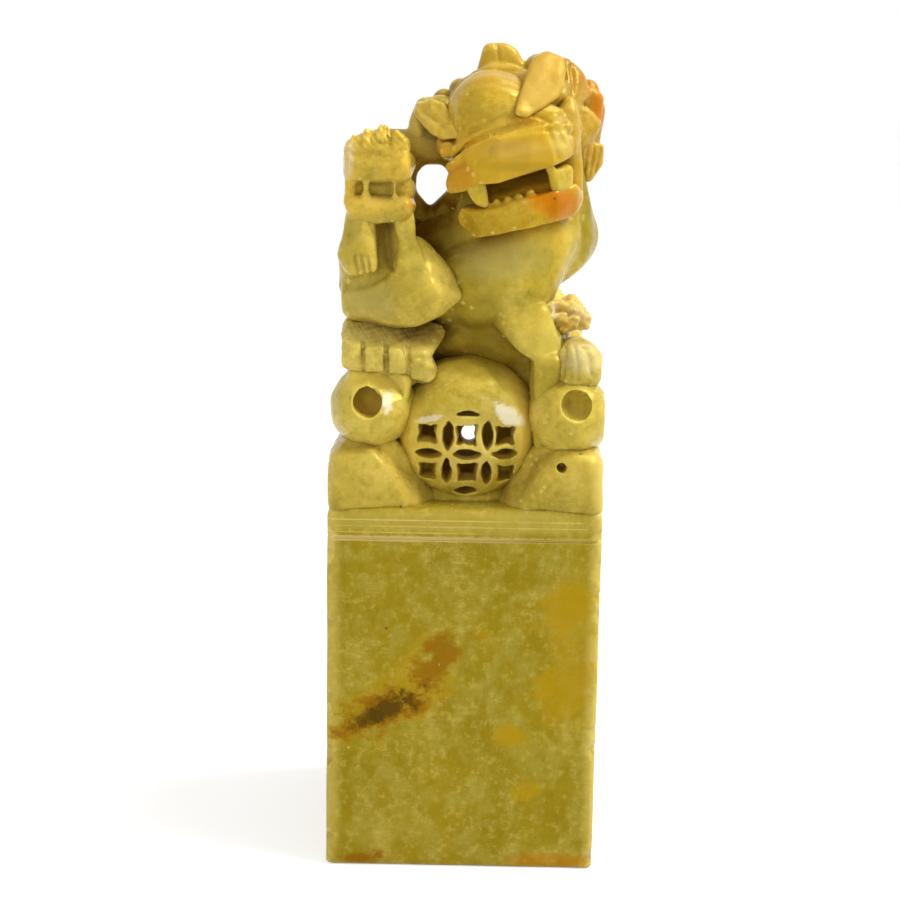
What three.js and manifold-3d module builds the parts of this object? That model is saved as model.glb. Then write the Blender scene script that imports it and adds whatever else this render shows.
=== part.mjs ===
// A carved soapstone seal: a square block under a knob that shows a lion and its cub on a pierced ball.
// Millimetres, +Z up. The origin is at the middle of the bare sealing face, and the front looks along -Y.
import * as THREE from 'three';
import { ConvexGeometry } from 'three/addons/geometries/ConvexGeometry.js';
import { mergeVertices } from 'three/addons/utils/BufferGeometryUtils.js';
import Module from 'manifold-3d';

// Seal block
const blockWidth = 30;
const blockHeight = 41.5;
const edgeRound = 0.6;
const footChamfer = 0.3;
const shoulderRound = 1;
const scribeDrop = 3.4;
const scribeWidth = 0.4;
const scribeDepth = 0.2;

// Clear space between two carved forms that meet
const carvingGap = 0.3;

// Pierced ball
const ballRadius = 8.1;
const ballSink = 0.7;
const ballWall = 1.7;
const ballSetBack = 8.5;
const latticeFaceRadius = 13;
const latticeFaceSink = 1.3;
const coinPitch = 4.3;
const ribWidth = 0.6;
const latticeShift = 0.3;
const latticeDrop = 1.5;
const rearWindowRadius = 3.1;
const rearWindowDrop = 0.9;

// Rocks and drilled pearls at the corners
const rockHeight = 6.2;
const rearRockHeight = 9;
const rockRound = 0.9;
const cheekRadius = 3;
const pearlRadius = 4.6;
const pearlSink = 0.6;
const drillRadius = 1.6;
const leftDrillDepth = 4;
const rightDrillDepth = 2.5;
const pilotHoleRadius = 0.6;

// Lion's limbs and body
const toeRadius = 1.5;
const pawThickness = 3.4;
const legRadius = 2.5;
const rearPawRadius = 2.5;
const thighRadius = 4.7;
const bellyRise = 2.9;
const torsoRadius = 5.6;
const rumpRadius = 5.8;
const rumpDrop = 1.7;
const tailRadius = 2.2;
const spineRadius = 1.3;
const tuftRadius = 1.9;

// Lion's head
const headTilt = 18;
const headRise = 12.4;
const skullRadius = 5.3;
const muzzleWidth = 12.8;
const muzzleReach = 7.6;
const upperJawHeight = 3.4;
const mouthOpening = 2.9;
const lowerJawHeight = 3.2;
const fangRadius = 0.6;
const earThickness = 1.8;
const maneRadius = 2;

// Cub
const haunchRadius = 4.6;
const cubBodyRadius = 4.6;
const cubArmRadius = 2;
const cubNeckRise = 8.8;
const cubHeadWidth = 7.8;
const cubHeadHeight = 4.4;
const cubMouthOpening = 1.5;
const cubJawRadius = 1.5;

// Corners closer than this are one corner
const weldDistance = 1e-5;

// Radii at which a rounded form gets its finer facets
const middlingRadius = 1.3;
const largeRadius = 4;

const wasm = await Module();
wasm.setup();

// Places that the forms share
const side = blockWidth / 2;
const floor = blockHeight;
const ball = new THREE.Vector3(0, ballSetBack - side, floor + ballRadius - ballSink);
const ballTop = ball.z + ballRadius;
const pearlDepth = pearlRadius + 0.8;
const pearlFront = 0.3;
const leftPearl = new THREE.Vector3(pearlRadius - side - 0.1, pearlFront + pearlDepth - side,
  floor + rockHeight + pearlRadius - pearlSink);
const rightPearl = new THREE.Vector3(side - pearlRadius + 0.9, leftPearl.y, leftPearl.z - 0.8);
const chest = new THREE.Vector3(4, -4.2, ballTop + bellyRise + torsoRadius);
const neck = new THREE.Vector3(side - 5.7, -1.2, chest.z + torsoRadius);
const rump = new THREE.Vector3(-7, 3.6, chest.z - rumpDrop);
const skull = new THREE.Vector3(2.2, -6, chest.z + torsoRadius + headRise);
const haunch = new THREE.Vector3(-6.4, -9.2, ballTop + bellyRise + haunchRadius - 0.4);
const cubBack = new THREE.Vector3(cubBodyRadius + 0.3 - side, -5, haunch.z + 0.6);
const cubHead = new THREE.Vector3(-9.7, -9, cubBack.z + cubNeckRise);

const stone = {
  block: 0xa38a36,
  rock: 0xcab052,
  pearl: 0xbfa343,
  ball: 0xb9a03c,
  limb: 0xc8b04a,
  body: 0xb59d3c,
  haunch: 0xd8bd58,
  arm: 0xb09a3e,
  brow: 0xd2b04b,
  skull: 0xbe9a36,
  ear: 0xd2ae52,
  lip: 0xcb9f2d,
  jaw: 0xb89126,
  mane: 0xc99c3b,
  warmMane: 0xd09e40,
  tooth: 0xd8bc66,
  tuft: 0xcfac5b,
};

function finish(colour) {
  return new THREE.MeshStandardMaterial({ color: colour, roughness: 0.35, metalness: 0 });
}

// The solid that a closed three.js geometry bounds
function solidOf(geometry) {
  const bare = geometry.clone();
  bare.deleteAttribute('normal');
  bare.deleteAttribute('uv');
  const merged = mergeVertices(bare, weldDistance);
  const mesh = new wasm.Mesh({
    numProp: 3,
    vertProperties: new Float32Array(merged.attributes.position.array),
    triVerts: new Uint32Array(merged.index.array),
  });
  return new wasm.Manifold(mesh);
}

function join(solids) {
  return solids.reduce((whole, solid) => whole.add(solid));
}

// Directions that a rounded form is faceted along: 20, 42 or 92 of them
function facetDirections(detail) {
  const bare = detail === 0 ? new THREE.DodecahedronGeometry(1) : new THREE.IcosahedronGeometry(1, detail);
  bare.deleteAttribute('normal');
  bare.deleteAttribute('uv');
  const { position } = mergeVertices(bare, weldDistance).attributes;
  return Array.from({ length: position.count }, (_, corner) => (
    new THREE.Vector3().fromBufferAttribute(position, corner)
  ));
}

function detailFor(radius) {
  if (radius < middlingRadius) {
    return 0;
  }
  return radius < largeRadius ? 1 : 2;
}

// A form is a function from an all-round growth to the points whose hull it fills.
// The hull round balls, each given as [x, y, z, radius]
function hull(...balls) {
  return (grow) => balls.flatMap(([x, y, z, radius]) => facetDirections(detailFor(radius))
    .map((direction) => direction.multiplyScalar(radius + grow).add(new THREE.Vector3(x, y, z))));
}

// A hull with broad facets, for what lies mostly under other forms
function core(...balls) {
  return (grow) => balls.flatMap(([x, y, z, radius]) => facetDirections(1)
    .map((direction) => direction.multiplyScalar(radius + grow).add(new THREE.Vector3(x, y, z))));
}

// An ellipsoid with its three radii along X, Y and Z
function oval(x, y, z, radii) {
  const middle = new THREE.Vector3(x, y, z);
  return (grow) => facetDirections(detailFor(Math.max(...radii)))
    .map((direction) => direction.multiply(new THREE.Vector3(...radii).addScalar(grow)).add(middle));
}

// Forms given about a point, moved there
function about(point, forms) {
  return forms.map((form) => (grow) => form(grow).map((at) => at.add(point)));
}

// Forms of the tilted head, given about the middle of the skull
function onHead(forms) {
  const roll = new THREE.Quaternion()
    .setFromAxisAngle(new THREE.Vector3(0, 1, 0), -THREE.MathUtils.degToRad(headTilt));
  return forms.map((form) => (grow) => form(grow).map((at) => at.applyQuaternion(roll).add(skull)));
}

function formSolid(form, grow) {
  return solidOf(new ConvexGeometry(form(grow)));
}

function box(low, high) {
  const size = new THREE.Vector3().subVectors(high, low);
  const geometry = new THREE.BoxGeometry(size.x, size.y, size.z);
  geometry.translate((low.x + high.x) / 2, (low.y + high.y) / 2, (low.z + high.z) / 2);
  return solidOf(geometry);
}

// A drill's path: a cylinder whose mouth is at the point and that runs along +Y
function drill(x, y, z, radius, depth) {
  const geometry = new THREE.CylinderGeometry(radius, radius, depth, radius < middlingRadius ? 8 : 20);
  geometry.translate(x, y + depth / 2, z);
  return solidOf(geometry);
}

// The squared stone that everything above the block is cut from
const tall = 3 * blockHeight;
const rawStone = box(new THREE.Vector3(-side, -side, floor), new THREE.Vector3(side, side, tall));

const seal = new THREE.Group();
const carved = [];

function show(name, colour, solid) {
  const mesh = solid.getMesh();
  const geometry = new THREE.BufferGeometry();
  geometry.setAttribute('position', new THREE.BufferAttribute(mesh.vertProperties, 3));
  geometry.setIndex(new THREE.BufferAttribute(mesh.triVerts, 1));
  geometry.computeVertexNormals();
  const piece = new THREE.Mesh(geometry, finish(colour));
  piece.name = name;
  seal.add(piece);
}

function boxesMeet(a, b) {
  return [0, 1, 2].every((axis) => a.min[axis] < b.max[axis] && b.min[axis] < a.max[axis]);
}

// Carves one form out of the raw stone, clear of every form that was carved before it.
// Crumbs that the other forms cut off it are dropped.
function carve(name, colour, forms, cuts = []) {
  let solid = join(forms.map((form) => formSolid(form, 0))).intersect(rawStone);
  const grown = join(forms.map((form) => formSolid(form, carvingGap)));
  for (const earlier of carved) {
    if (boxesMeet(solid.boundingBox(), earlier.boundingBox())) {
      solid = solid.subtract(earlier);
    }
  }
  for (const cut of cuts) {
    solid = solid.subtract(cut);
  }
  const [whole] = solid.decompose().sort((a, b) => b.volume() - a.volume());
  show(name, colour, whole);
  carved.push(grown);
}

// Seal block

// Points of a square outline with round corners, inset all round at one height
function roundedSquare(z, inset) {
  const half = side - inset;
  const round = Math.min(edgeRound, half);
  const steps = 3;
  const corners = [0, 1, 2, 3];
  return corners.flatMap((corner) => Array.from({ length: steps + 1 }, (_, step) => {
    const angle = (corner + step / steps) * Math.PI / 2;
    const turn = (corner + 0.5) * Math.PI / 2;
    const x = Math.sign(Math.cos(turn)) * (half - round) + round * Math.cos(angle);
    const y = Math.sign(Math.sin(turn)) * (half - round) + round * Math.sin(angle);
    return new THREE.Vector3(x, y, z);
  }));
}

function shoulderRings() {
  const steps = 3;
  return Array.from({ length: steps + 1 }, (_, step) => {
    const angle = (step / steps) * Math.PI / 2;
    const drop = shoulderRound * (1 - Math.sin(angle));
    const inset = shoulderRound * (1 - Math.cos(angle));
    return roundedSquare(blockHeight - drop, inset);
  }).flat();
}

const scribeHeight = blockHeight - scribeDrop;
const scribeHalf = scribeWidth / 2;
const scribeBand = box(
  new THREE.Vector3(-blockWidth, -blockWidth, scribeHeight - scribeHalf),
  new THREE.Vector3(blockWidth, blockWidth, scribeHeight + scribeHalf),
);
const scribeCore = box(
  new THREE.Vector3(scribeDepth - side, scribeDepth - side, 0),
  new THREE.Vector3(side - scribeDepth, side - scribeDepth, blockHeight),
);
const blankBlock = solidOf(new ConvexGeometry([
  ...roundedSquare(0, footChamfer),
  ...roundedSquare(footChamfer, 0),
  ...shoulderRings(),
]));
show('seal_block', stone.block, blankBlock.subtract(scribeBand.subtract(scribeCore)));

// Pierced ball

const latticeFace = new THREE.Vector3(
  ball.x,
  ball.y - ballRadius + latticeFaceSink + latticeFaceRadius,
  ball.z + 0.6,
);
const coinRadius = coinPitch / Math.SQRT2;
const latticeX = ball.x + latticeShift;
const latticeZ = ball.z - latticeDrop;
const rearWindowZ = ball.z - rearWindowDrop;

// A ball of flat facets, as fine as asked
function facetedBall(centre, radius, detail) {
  const geometry = new THREE.IcosahedronGeometry(radius, detail);
  geometry.translate(centre.x, centre.y, centre.z);
  return solidOf(geometry);
}

// A cutter with this outline in X and Z that runs through the front wall along Y
function frontCutter(outline) {
  const depth = ball.y + side;
  const geometry = new THREE.ExtrudeGeometry(new THREE.Shape(outline), { depth, bevelEnabled: false });
  geometry.rotateX(Math.PI / 2);
  geometry.translate(0, ball.y, 0);
  return solidOf(geometry);
}

// Points on the arc of a ring between two angles, end left out
function ringArc(x, z, radius, from, to, steps) {
  return Array.from({ length: steps }, (_, step) => {
    const angle = from + (to - from) * step / steps;
    return new THREE.Vector2(x + radius * Math.cos(angle), z + radius * Math.sin(angle));
  });
}

// The lens between two neighbouring coins, standing or lying
function petal(x, z, standing) {
  const inner = coinRadius - ribWidth / 2;
  const reach = Math.acos(coinPitch / 2 / inner);
  const steps = 3;
  const first = standing ? 0 : Math.PI / 2;
  const [dx, dz] = standing ? [coinPitch / 2, 0] : [0, coinPitch / 2];
  return [
    ...ringArc(x - dx, z - dz, inner, first - reach, first + reach, steps),
    ...ringArc(x + dx, z + dz, inner, first + Math.PI - reach, first + Math.PI + reach, steps),
  ];
}

// The concave square in the middle of a coin, between its four neighbours
function coinSquare(x, z) {
  const outer = coinRadius + ribWidth / 2;
  const corner = (coinPitch - Math.sqrt(2 * outer * outer - coinPitch * coinPitch)) / 2;
  const reach = Math.atan2(corner, coinPitch - corner);
  const steps = 3;
  return [0, 1, 2, 3].flatMap((quarter) => {
    const facing = quarter * Math.PI / 2;
    const centreX = x - coinPitch * Math.cos(facing);
    const centreZ = z - coinPitch * Math.sin(facing);
    return ringArc(centreX, centreZ, outer, facing + reach, facing - reach, steps);
  }).reverse();
}

const openings = [];
for (const row of [-1, 1]) {
  for (const column of [-1, 0, 1]) {
    openings.push(coinSquare(latticeX + column * coinPitch, latticeZ + row * coinPitch / 2));
  }
  for (const column of [-1, 1]) {
    openings.push(petal(latticeX + column * coinPitch / 2, latticeZ + row * coinPitch / 2, true));
  }
  openings.push(petal(latticeX, latticeZ + row * coinPitch, false));
}
for (const column of [-1, 0, 1]) {
  openings.push(petal(latticeX + column * coinPitch, latticeZ, false));
}

const hollow = new THREE.Vector3(ball.x, ball.y + latticeFaceSink / 2, ball.z);

let ballShell = facetedBall(ball, ballRadius, 4)
  .intersect(facetedBall(latticeFace, latticeFaceRadius, 5))
  .subtract(facetedBall(hollow, ballRadius - ballWall, 2))
  .subtract(drill(ball.x, ball.y, rearWindowZ, rearWindowRadius, 2 * ballRadius))
  .intersect(rawStone);
for (const opening of openings) {
  ballShell = ballShell.subtract(frontCutter(opening));
}
show('lattice_ball', stone.ball, ballShell);
carved.push(facetedBall(ball, ballRadius + carvingGap, 4));

// Drilled pearls under the lion's front paws

carve('left_pearl', stone.pearl, [
  oval(leftPearl.x, leftPearl.y, leftPearl.z, [pearlRadius, pearlDepth, pearlRadius]),
], [drill(leftPearl.x - 0.2, -side, leftPearl.z + 1.2, drillRadius, leftDrillDepth)]);

carve('right_pearl', stone.pearl, [
  oval(rightPearl.x, rightPearl.y, rightPearl.z, [pearlRadius, pearlDepth, pearlRadius]),
], [drill(rightPearl.x + 0.5, -side, rightPearl.z + 1.8, drillRadius, rightDrillDepth)]);

// Lion's trunk, skull and the body of its mane

const muzzleHalf = muzzleWidth / 2;
const lipRound = 0.8;
const biteZ = -6.1;
const upperLipZ = biteZ + lipRound;
const muzzleTopZ = biteZ + upperJawHeight - lipRound;
const jawTopZ = biteZ - mouthOpening - lipRound;
const jawBottomZ = biteZ - mouthOpening - lowerJawHeight + lipRound;
const front = -muzzleReach + lipRound;

carve('chest', stone.body, [
  hull([neck.x, neck.y, neck.z, torsoRadius - 0.6], [chest.x, chest.y, chest.z, torsoRadius],
    [chest.x - 5.4, chest.y + 1.4, chest.z - 0.2, torsoRadius - 0.8]),
]);

carve('rump', stone.body, [
  hull([rump.x, rump.y, rump.z, rumpRadius], [chest.x - 1, chest.y + 6.4, chest.z - 0.4, torsoRadius]),
]);

carve('skull', stone.skull, onHead([
  oval(0, 0, 0, [skullRadius, skullRadius + 0.6, skullRadius]),
]));

carve('neck', stone.body, [
  core([skull.x + 3.8, -0.6, skull.z - skullRadius - 0.4, torsoRadius - 1.3],
    [skull.x + 6.6, 0.4, skull.z - skullRadius - 0.2, torsoRadius - 1.4],
    [skull.x - 0.8, -0.8, skull.z - skullRadius - 2.9, torsoRadius - 1.9],
    [neck.x - 1.6, 0.2, neck.z + 1, torsoRadius - 0.9]),
]);

carve('mane', stone.mane, onHead([
  core([5.2, 4.2, -1.6, 4.6], [0.4, 4.4, 0, 4.6], [3, 4.4, biteZ + 1.6, 4.4]),
]));

// Cub

const cubHalf = cubHeadWidth / 2;
const cubBrowRound = 1.1;
const cubMouthTop = cubJawRadius + cubMouthOpening;
const cubLipZ = cubMouthTop + cubBrowRound;
const cubCrownZ = cubMouthTop + cubHeadHeight - cubBrowRound;

carve('cub_haunch', stone.haunch, [
  hull([haunch.x, haunch.y, haunch.z, haunchRadius],
    [haunch.x - 3.2, haunch.y + 1.2, haunch.z + 0.2, haunchRadius],
    [haunch.x + 4, haunch.y - 0.6, haunch.z - 0.2, haunchRadius * 0.38]),
]);

carve('cub_body', stone.body, [
  core([cubBack.x, cubBack.y, cubBack.z, cubBodyRadius],
    [cubHead.x, cubHead.y + 3, cubHead.z - cubJawRadius - 2.2, cubBodyRadius * 0.8]),
]);

carve('cub_neck', stone.body, about(cubHead, [
  core([0, 3.2, cubLipZ, 2.7], [0, 3.4, -1, 3]),
]));

carve('cub_head', stone.brow, about(cubHead, [
  hull(
    [-cubHalf + 1, -3.2, cubLipZ, cubBrowRound], [cubHalf - 1, -3, cubLipZ, cubBrowRound],
    [-cubHalf + 1.1, -2.3, cubCrownZ, cubBrowRound], [cubHalf - 1.2, -2.3, cubCrownZ + 0.3, cubBrowRound],
    [-cubHalf + 1.7, 2.2, cubLipZ + 1, 1.6], [cubHalf - 1.6, 2.2, cubLipZ + 1, 1.6],
    [0, 2, cubCrownZ, 1.4],
  ),
  hull([-1.3, -3.4, cubLipZ, 0.4], [-1.3, -3.2, cubJawRadius + carvingGap + 0.4, 0.4]),
  hull([1.9, -3.4, cubLipZ, 0.35], [1.9, -3.2, cubJawRadius + carvingGap + 0.35, 0.35]),
]));

carve('cub_hair', stone.brow, about(cubHead, [-3.1, -1.6, 0.1, 2.1].map((x, lock) => hull(
  [x, -1.4, cubCrownZ + 0.8 + 0.3 * lock * (3 - lock) / 2, 0.8],
  [x * 0.9, 2, cubCrownZ + 0.9, 1.2],
))));

carve('cub_jaw', stone.jaw, about(cubHead, [
  hull([-cubHalf + cubJawRadius, -1.6, 0, cubJawRadius], [cubHalf - cubJawRadius, -1.4, 0, cubJawRadius],
    [-cubHalf + 1.9, 2, 0, cubJawRadius], [cubHalf - 1.7, 2, 0, cubJawRadius]),
]));

carve('cub_left_arm', stone.arm, [
  hull([cubHead.x - 1.6, -9.2, cubHead.z - cubJawRadius - 1, cubArmRadius],
    [cubHead.x - 1.4, -11.6, haunch.z + 3.6, cubArmRadius]),
]);

carve('cub_right_arm', stone.limb, [
  hull([cubHead.x + 2.5, -9.6, cubHead.z - cubJawRadius, cubArmRadius - 0.8],
    [cubHead.x + 3.6, -11, haunch.z + 3.6, cubArmRadius - 0.5]),
]);

// Lion's paws and front legs

const leftPawZ = leftPearl.z + pearlRadius;
const toeSpread = [-2.4, 0.2, 2.8, 5.4];
for (const [toe, x] of toeSpread.entries()) {
  carve(`left_toe_${toe + 1}`, stone.limb, [
    hull([leftPearl.x + x, -12 + (toe === 0), leftPawZ + 0.8 - 0.25 * toe, toeRadius],
      [leftPearl.x + x * 0.9, -8.5, leftPawZ + 1.2, toeRadius]),
  ]);
}

carve('left_front_paw', stone.limb, [
  hull([leftPearl.x - 1.8, -8.6, leftPawZ + pawThickness / 2 + 0.6, pawThickness / 2],
    [leftPearl.x + 5.4, -8, leftPawZ + pawThickness / 2 + 0.5, pawThickness / 2],
    [leftPearl.x + 1.4, -3.5, leftPawZ + 2.4, 2.6]),
]);

carve('right_front_paw', stone.limb, [
  hull([rightPearl.x + 0.8, -11, rightPearl.z + pearlRadius + 1.6, 2.5],
    [rightPearl.x + 1, -7.6, rightPearl.z + pearlRadius + 1.8, 2.3]),
]);

carve('right_foreleg', stone.limb, [
  hull([chest.x + 1.6, -8.6, chest.z - torsoRadius + 1.4, legRadius + 0.6],
    [rightPearl.x - 2.6, -11.2, rightPearl.z + pearlRadius + 2.2, legRadius]),
  hull([rightPearl.x - 2.6, -11.2, rightPearl.z + pearlRadius + 2.2, legRadius],
    [rightPearl.x - 1.9, -10.6, rightPearl.z + pearlRadius - 1.6, legRadius - 0.5]),
  core([rightPearl.x - 4.2, -6.2, rightPearl.z + pearlRadius + 2.6, legRadius + 0.5],
    [rightPearl.x - 2.4, -5, rightPearl.z - 1, legRadius + 0.3]),
]);

carve('elbow_tuft', stone.tuft, [
  oval(side - 3.9, -6.4, chest.z - torsoRadius + 1.7, [tuftRadius, tuftRadius, tuftRadius]),
  oval(side - 5.5, -6.2, chest.z - torsoRadius + 1, [tuftRadius, tuftRadius - 0.1, tuftRadius - 0.3]),
]);

// Lion's head, given about the skull before its tilt

carve('upper_jaw', stone.lip, onHead([
  hull([-muzzleHalf + 1.2, front + 1.8, upperLipZ, lipRound], [-2.8, front, upperLipZ, lipRound],
    [3, front, upperLipZ, lipRound], [muzzleHalf, front + 1.6, upperLipZ, lipRound],
    [-3, front + 0.5, muzzleTopZ, lipRound], [3.6, front + 0.6, muzzleTopZ - 0.4, lipRound],
    [muzzleHalf + 1, front + 2.1, muzzleTopZ - 0.9, lipRound],
    [-muzzleHalf + 1.6, 1, upperLipZ, lipRound], [muzzleHalf, 1, upperLipZ, lipRound],
    [-muzzleHalf + 1.8, 0.6, muzzleTopZ, lipRound], [muzzleHalf, 0.6, muzzleTopZ, lipRound]),
]));

carve('left_fang', stone.tooth, onHead([
  hull([-4, front + 1.4, biteZ, fangRadius],
    [-3.2, front + 1.2, biteZ - mouthOpening + fangRadius, fangRadius]),
]));

carve('right_fang', stone.tooth, onHead([
  hull([4.5, front + 1.4, biteZ, fangRadius + 0.1],
    [4.1, front + 1.2, biteZ - mouthOpening + fangRadius, fangRadius]),
]));

carve('left_jowl', stone.lip, onHead([
  oval(-muzzleHalf + 0.5, front + 2.4, upperLipZ + 0.6, [1.7, 2.3, 1.5]),
]));

carve('nose', stone.lip, onHead([
  oval(-2.8, front - 0.1, muzzleTopZ - 0.1, [1.15, 1, 1.1]),
  oval(0.5, front + 0.4, muzzleTopZ + 0.5, [2.9, 1.4, 1]),
  oval(3.9, front, muzzleTopZ - 0.1, [1.15, 1, 1.1]),
]));

carve('lower_jaw', stone.jaw, onHead([
  hull([-muzzleHalf + 1.2, front + 3.3, jawTopZ + 0.7, lipRound], [-2.8, front + 0.3, jawTopZ, lipRound],
    [4.4, front + 1, jawTopZ - 1, lipRound], [muzzleHalf - 0.2, front + 3.3, jawTopZ - 1.3, lipRound],
    [-muzzleHalf + 2.1, front + 3.2, jawBottomZ, lipRound], [-3.4, front + 1.6, jawBottomZ, lipRound],
    [1, front + 0.6, jawBottomZ - 0.2, lipRound], [4.8, front + 2, jawBottomZ - 0.6, lipRound],
    [-muzzleHalf + 2, 1.4, jawTopZ, lipRound], [muzzleHalf - 1, 1.4, jawTopZ - 1, lipRound],
    [-muzzleHalf + 2.6, 1.4, jawBottomZ, lipRound], [muzzleHalf - 1.4, 1.4, jawBottomZ - 0.6, lipRound]),
]));

const toothRow = [-2, -0.9, 0.2, 1.3, 2.4];
carve('lower_teeth', stone.tooth, onHead(toothRow.map((x) => (
  oval(x, front + 1.9, jawTopZ + lipRound - 0.12 * (x + 2) + 0.55, [0.75, 0.7, 0.7])
))));

carve('left_ear', stone.ear, onHead([
  hull([-skullRadius - 1.5, 1.2, skullRadius * 0.52, earThickness / 2],
    [-skullRadius - 0.1, 0.3, skullRadius * 0.44, earThickness / 2],
    [-skullRadius + 0.8, -2.6, -0.5, earThickness / 2], [-skullRadius - 0.6, -2.4, -0.6, earThickness / 2],
    [-skullRadius - 1.8, -0.4, 0.4, earThickness / 2]),
]));

carve('right_ear', stone.ear, onHead([
  hull([skullRadius + 2.4, 2.4, skullRadius - 1.8, earThickness / 2],
    [skullRadius + 2.8, 1.6, skullRadius - 3.8, earThickness / 2],
    [skullRadius + 2.3, -0.3, 0, earThickness / 2], [skullRadius + 0.1, -2.7, -0.1, earThickness / 2],
    [skullRadius - 2.7, -4.8, -1, earThickness / 2],
    [skullRadius - 0.7, -0.8, skullRadius - 3.4, earThickness / 2],
    [skullRadius + 1.1, 1.6, skullRadius - 2.1, earThickness / 2]),
]));

carve('left_eye', stone.brow, onHead([
  oval(-skullRadius + 0.1, -3.4, -2, [1.6, 1.7, 1.3]),
]));

carve('right_eye', stone.brow, onHead([
  oval(skullRadius + 0.7, -4, -1, [1.3, 1.5, 1.2]),
  hull([skullRadius - 0.6, -5, -1.7, 0.8], [skullRadius - 2.6, -5.4, -1.8, 0.8]),
]));

carve('right_cheek', stone.lip, onHead([
  hull([skullRadius + 3, -1.6, -2.6, 1.3], [skullRadius + 2.6, -3, -4.4, 1.2],
    [skullRadius + 3, -0.6, biteZ - 0.8, 1.7]),
]));

// Mane: locks round the skull, with the strand that joins the two heads

carve('crown_tuft', stone.mane, onHead([
  hull([2.2, 6.4, skullRadius, maneRadius + 0.4], [0.8, 6, skullRadius - 1.4, maneRadius + 0.3],
    [3.4, 6, skullRadius - 1, maneRadius]),
]));

carve('left_mane_lock_1', stone.mane, onHead([
  hull([-2.8, 6, skullRadius - 1.7, maneRadius + 0.1], [-3.8, 4.6, skullRadius - 3.4, maneRadius]),
]));

carve('left_mane_lock_2', stone.mane, onHead([
  hull([-skullRadius - 1.5, 4.8, skullRadius - 3.2, maneRadius - 0.1],
    [-skullRadius - 1.5, 2.4, -1, maneRadius - 0.4]),
]));

carve('right_mane_lock_1', stone.warmMane, onHead([
  hull([skullRadius + 4.2, 5.6, skullRadius - 4.9, maneRadius + 0.1],
    [skullRadius + 2.2, 5, skullRadius - 2.8, maneRadius]),
]));

carve('right_mane_lock_2', stone.warmMane, onHead([
  hull([skullRadius + 5.8, 7, -2.5, maneRadius - 0.4], [skullRadius + 4.2, 4.6, -3.4, maneRadius]),
]));

carve('right_mane_lock_3', stone.mane, onHead([
  hull([skullRadius + 4.4, 6, biteZ - 1.4, maneRadius - 0.3],
    [skullRadius + 4, 4.2, biteZ + 0.8, maneRadius]),
]));

carve('linking_lock', stone.mane, [
  hull([cubHead.x + 1.6, -3.8, cubHead.z + cubCrownZ + 0.9, 1.8],
    [skull.x - skullRadius - 2.7, -2.8, skull.z - 2.4, 1.9]),
  hull([skull.x - skullRadius - 2.7, -2.8, skull.z - 2.4, 1.9],
    [skull.x - skullRadius - 2.3, -3.2, skull.z - 4, 1.4],
    [skull.x - skullRadius - 0.4, -3, skull.z - 3.6, 1.8]),
]);

// Locks that fall down the back of the head, each ending in a curl
const backLocks = [-3.6, 0.8, 5.2, 9.4];
for (const [lock, x] of backLocks.entries()) {
  const outward = Math.abs(lock - 1.5) * 0.9;
  carve(`back_mane_lock_${lock + 1}`, stone.mane, onHead([
    hull([x * 0.8, 7.6 - outward, 1.6, maneRadius - 0.1],
      [x + 0.1, 8.8 - outward, biteZ + 0.6, maneRadius + 0.2]),
  ]));
}

// Lion's body

// A flame of the bushy tail: balls given about the rump's back, each joined to the next
function flame(...balls) {
  const placed = balls.map(([x, y, z, radius]) => [rump.x + x, rump.y + rumpRadius + y, rump.z + z, radius]);
  return placed.slice(1).map((ball, step) => hull(placed[step], ball));
}

carve('tail', stone.mane, [
  ...flame([1.8, -1, -3.2, tailRadius - 0.4], [4.6, 0, 0.4, tailRadius + 0.4], [7.6, -0.4, 4.6, tailRadius + 0.5],
    [10.4, -2, 8.6, tailRadius], [12.8, -4.2, 11.8, tailRadius - 1]),
  ...flame([4, 0.2, -0.8, tailRadius - 0.5], [3, 0.2, 2.6, tailRadius - 0.4], [3.8, -0.8, 5.6, tailRadius - 0.8],
    [5.2, -1.4, 7.8, tailRadius - 1.5]),
  ...flame([6.4, 1, 0.8, tailRadius - 0.6], [10.4, 0.6, 2.8, tailRadius - 0.5], [12.6, -0.8, 5.8, tailRadius - 0.8],
    [12.8, -1.8, 8.2, tailRadius - 1.5]),
]);

carve('spine_ridge', stone.mane, [
  hull([rump.x - 0.4, rump.y + 1.8, rump.z + rumpRadius - 1.2, spineRadius],
    [rump.x + 4, rump.y + 2, rump.z + rumpRadius - 0.6, spineRadius],
    [neck.x - 4, neck.y + 5.4, neck.z + 1.2, spineRadius]),
]);

carve('left_thigh', stone.haunch, [
  core([rump.x - 0.6, rump.y + 1, rump.z - 1.4, thighRadius],
    [5.2 - side, side - 6.4, floor + rearRockHeight + 2 * rearPawRadius + 1.4, legRadius + 0.9]),
]);

carve('right_thigh', stone.haunch, [
  core([chest.x - 0.6, chest.y + 8.4, chest.z - 1.2, thighRadius - 0.2],
    [side - 6, side - 6.6, floor + rearRockHeight + 2 * rearPawRadius + 1.2, legRadius + 0.9]),
]);

for (const [name, flip] of [['left', -1], ['right', 1]]) {
  carve(`${name}_rear_paw`, stone.limb, [
    hull([flip * (side - 4.4), side - 6, floor + rearRockHeight + rearPawRadius, rearPawRadius],
      [flip * (side - 3.2), side - 2.6, floor + rearRockHeight + rearPawRadius - 1, rearPawRadius - 1],
      [flip * (side - 5.8), side - 2.4, floor + rearRockHeight + rearPawRadius - 1, rearPawRadius - 1]),
  ]);
}

// Belly that bears on the back of the ball
carve('belly', stone.body, [
  hull([ball.x - 2.4, ball.y + 5.4, ballTop + bellyRise - 1.4, 3.2],
    [ball.x + 3.2, ball.y + 5.4, ballTop + bellyRise - 1.4, 3.2],
    [ball.x, ball.y + ballRadius, ballTop - 2.4, 3]),
]);

// Rocks at the corners of the block

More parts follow.
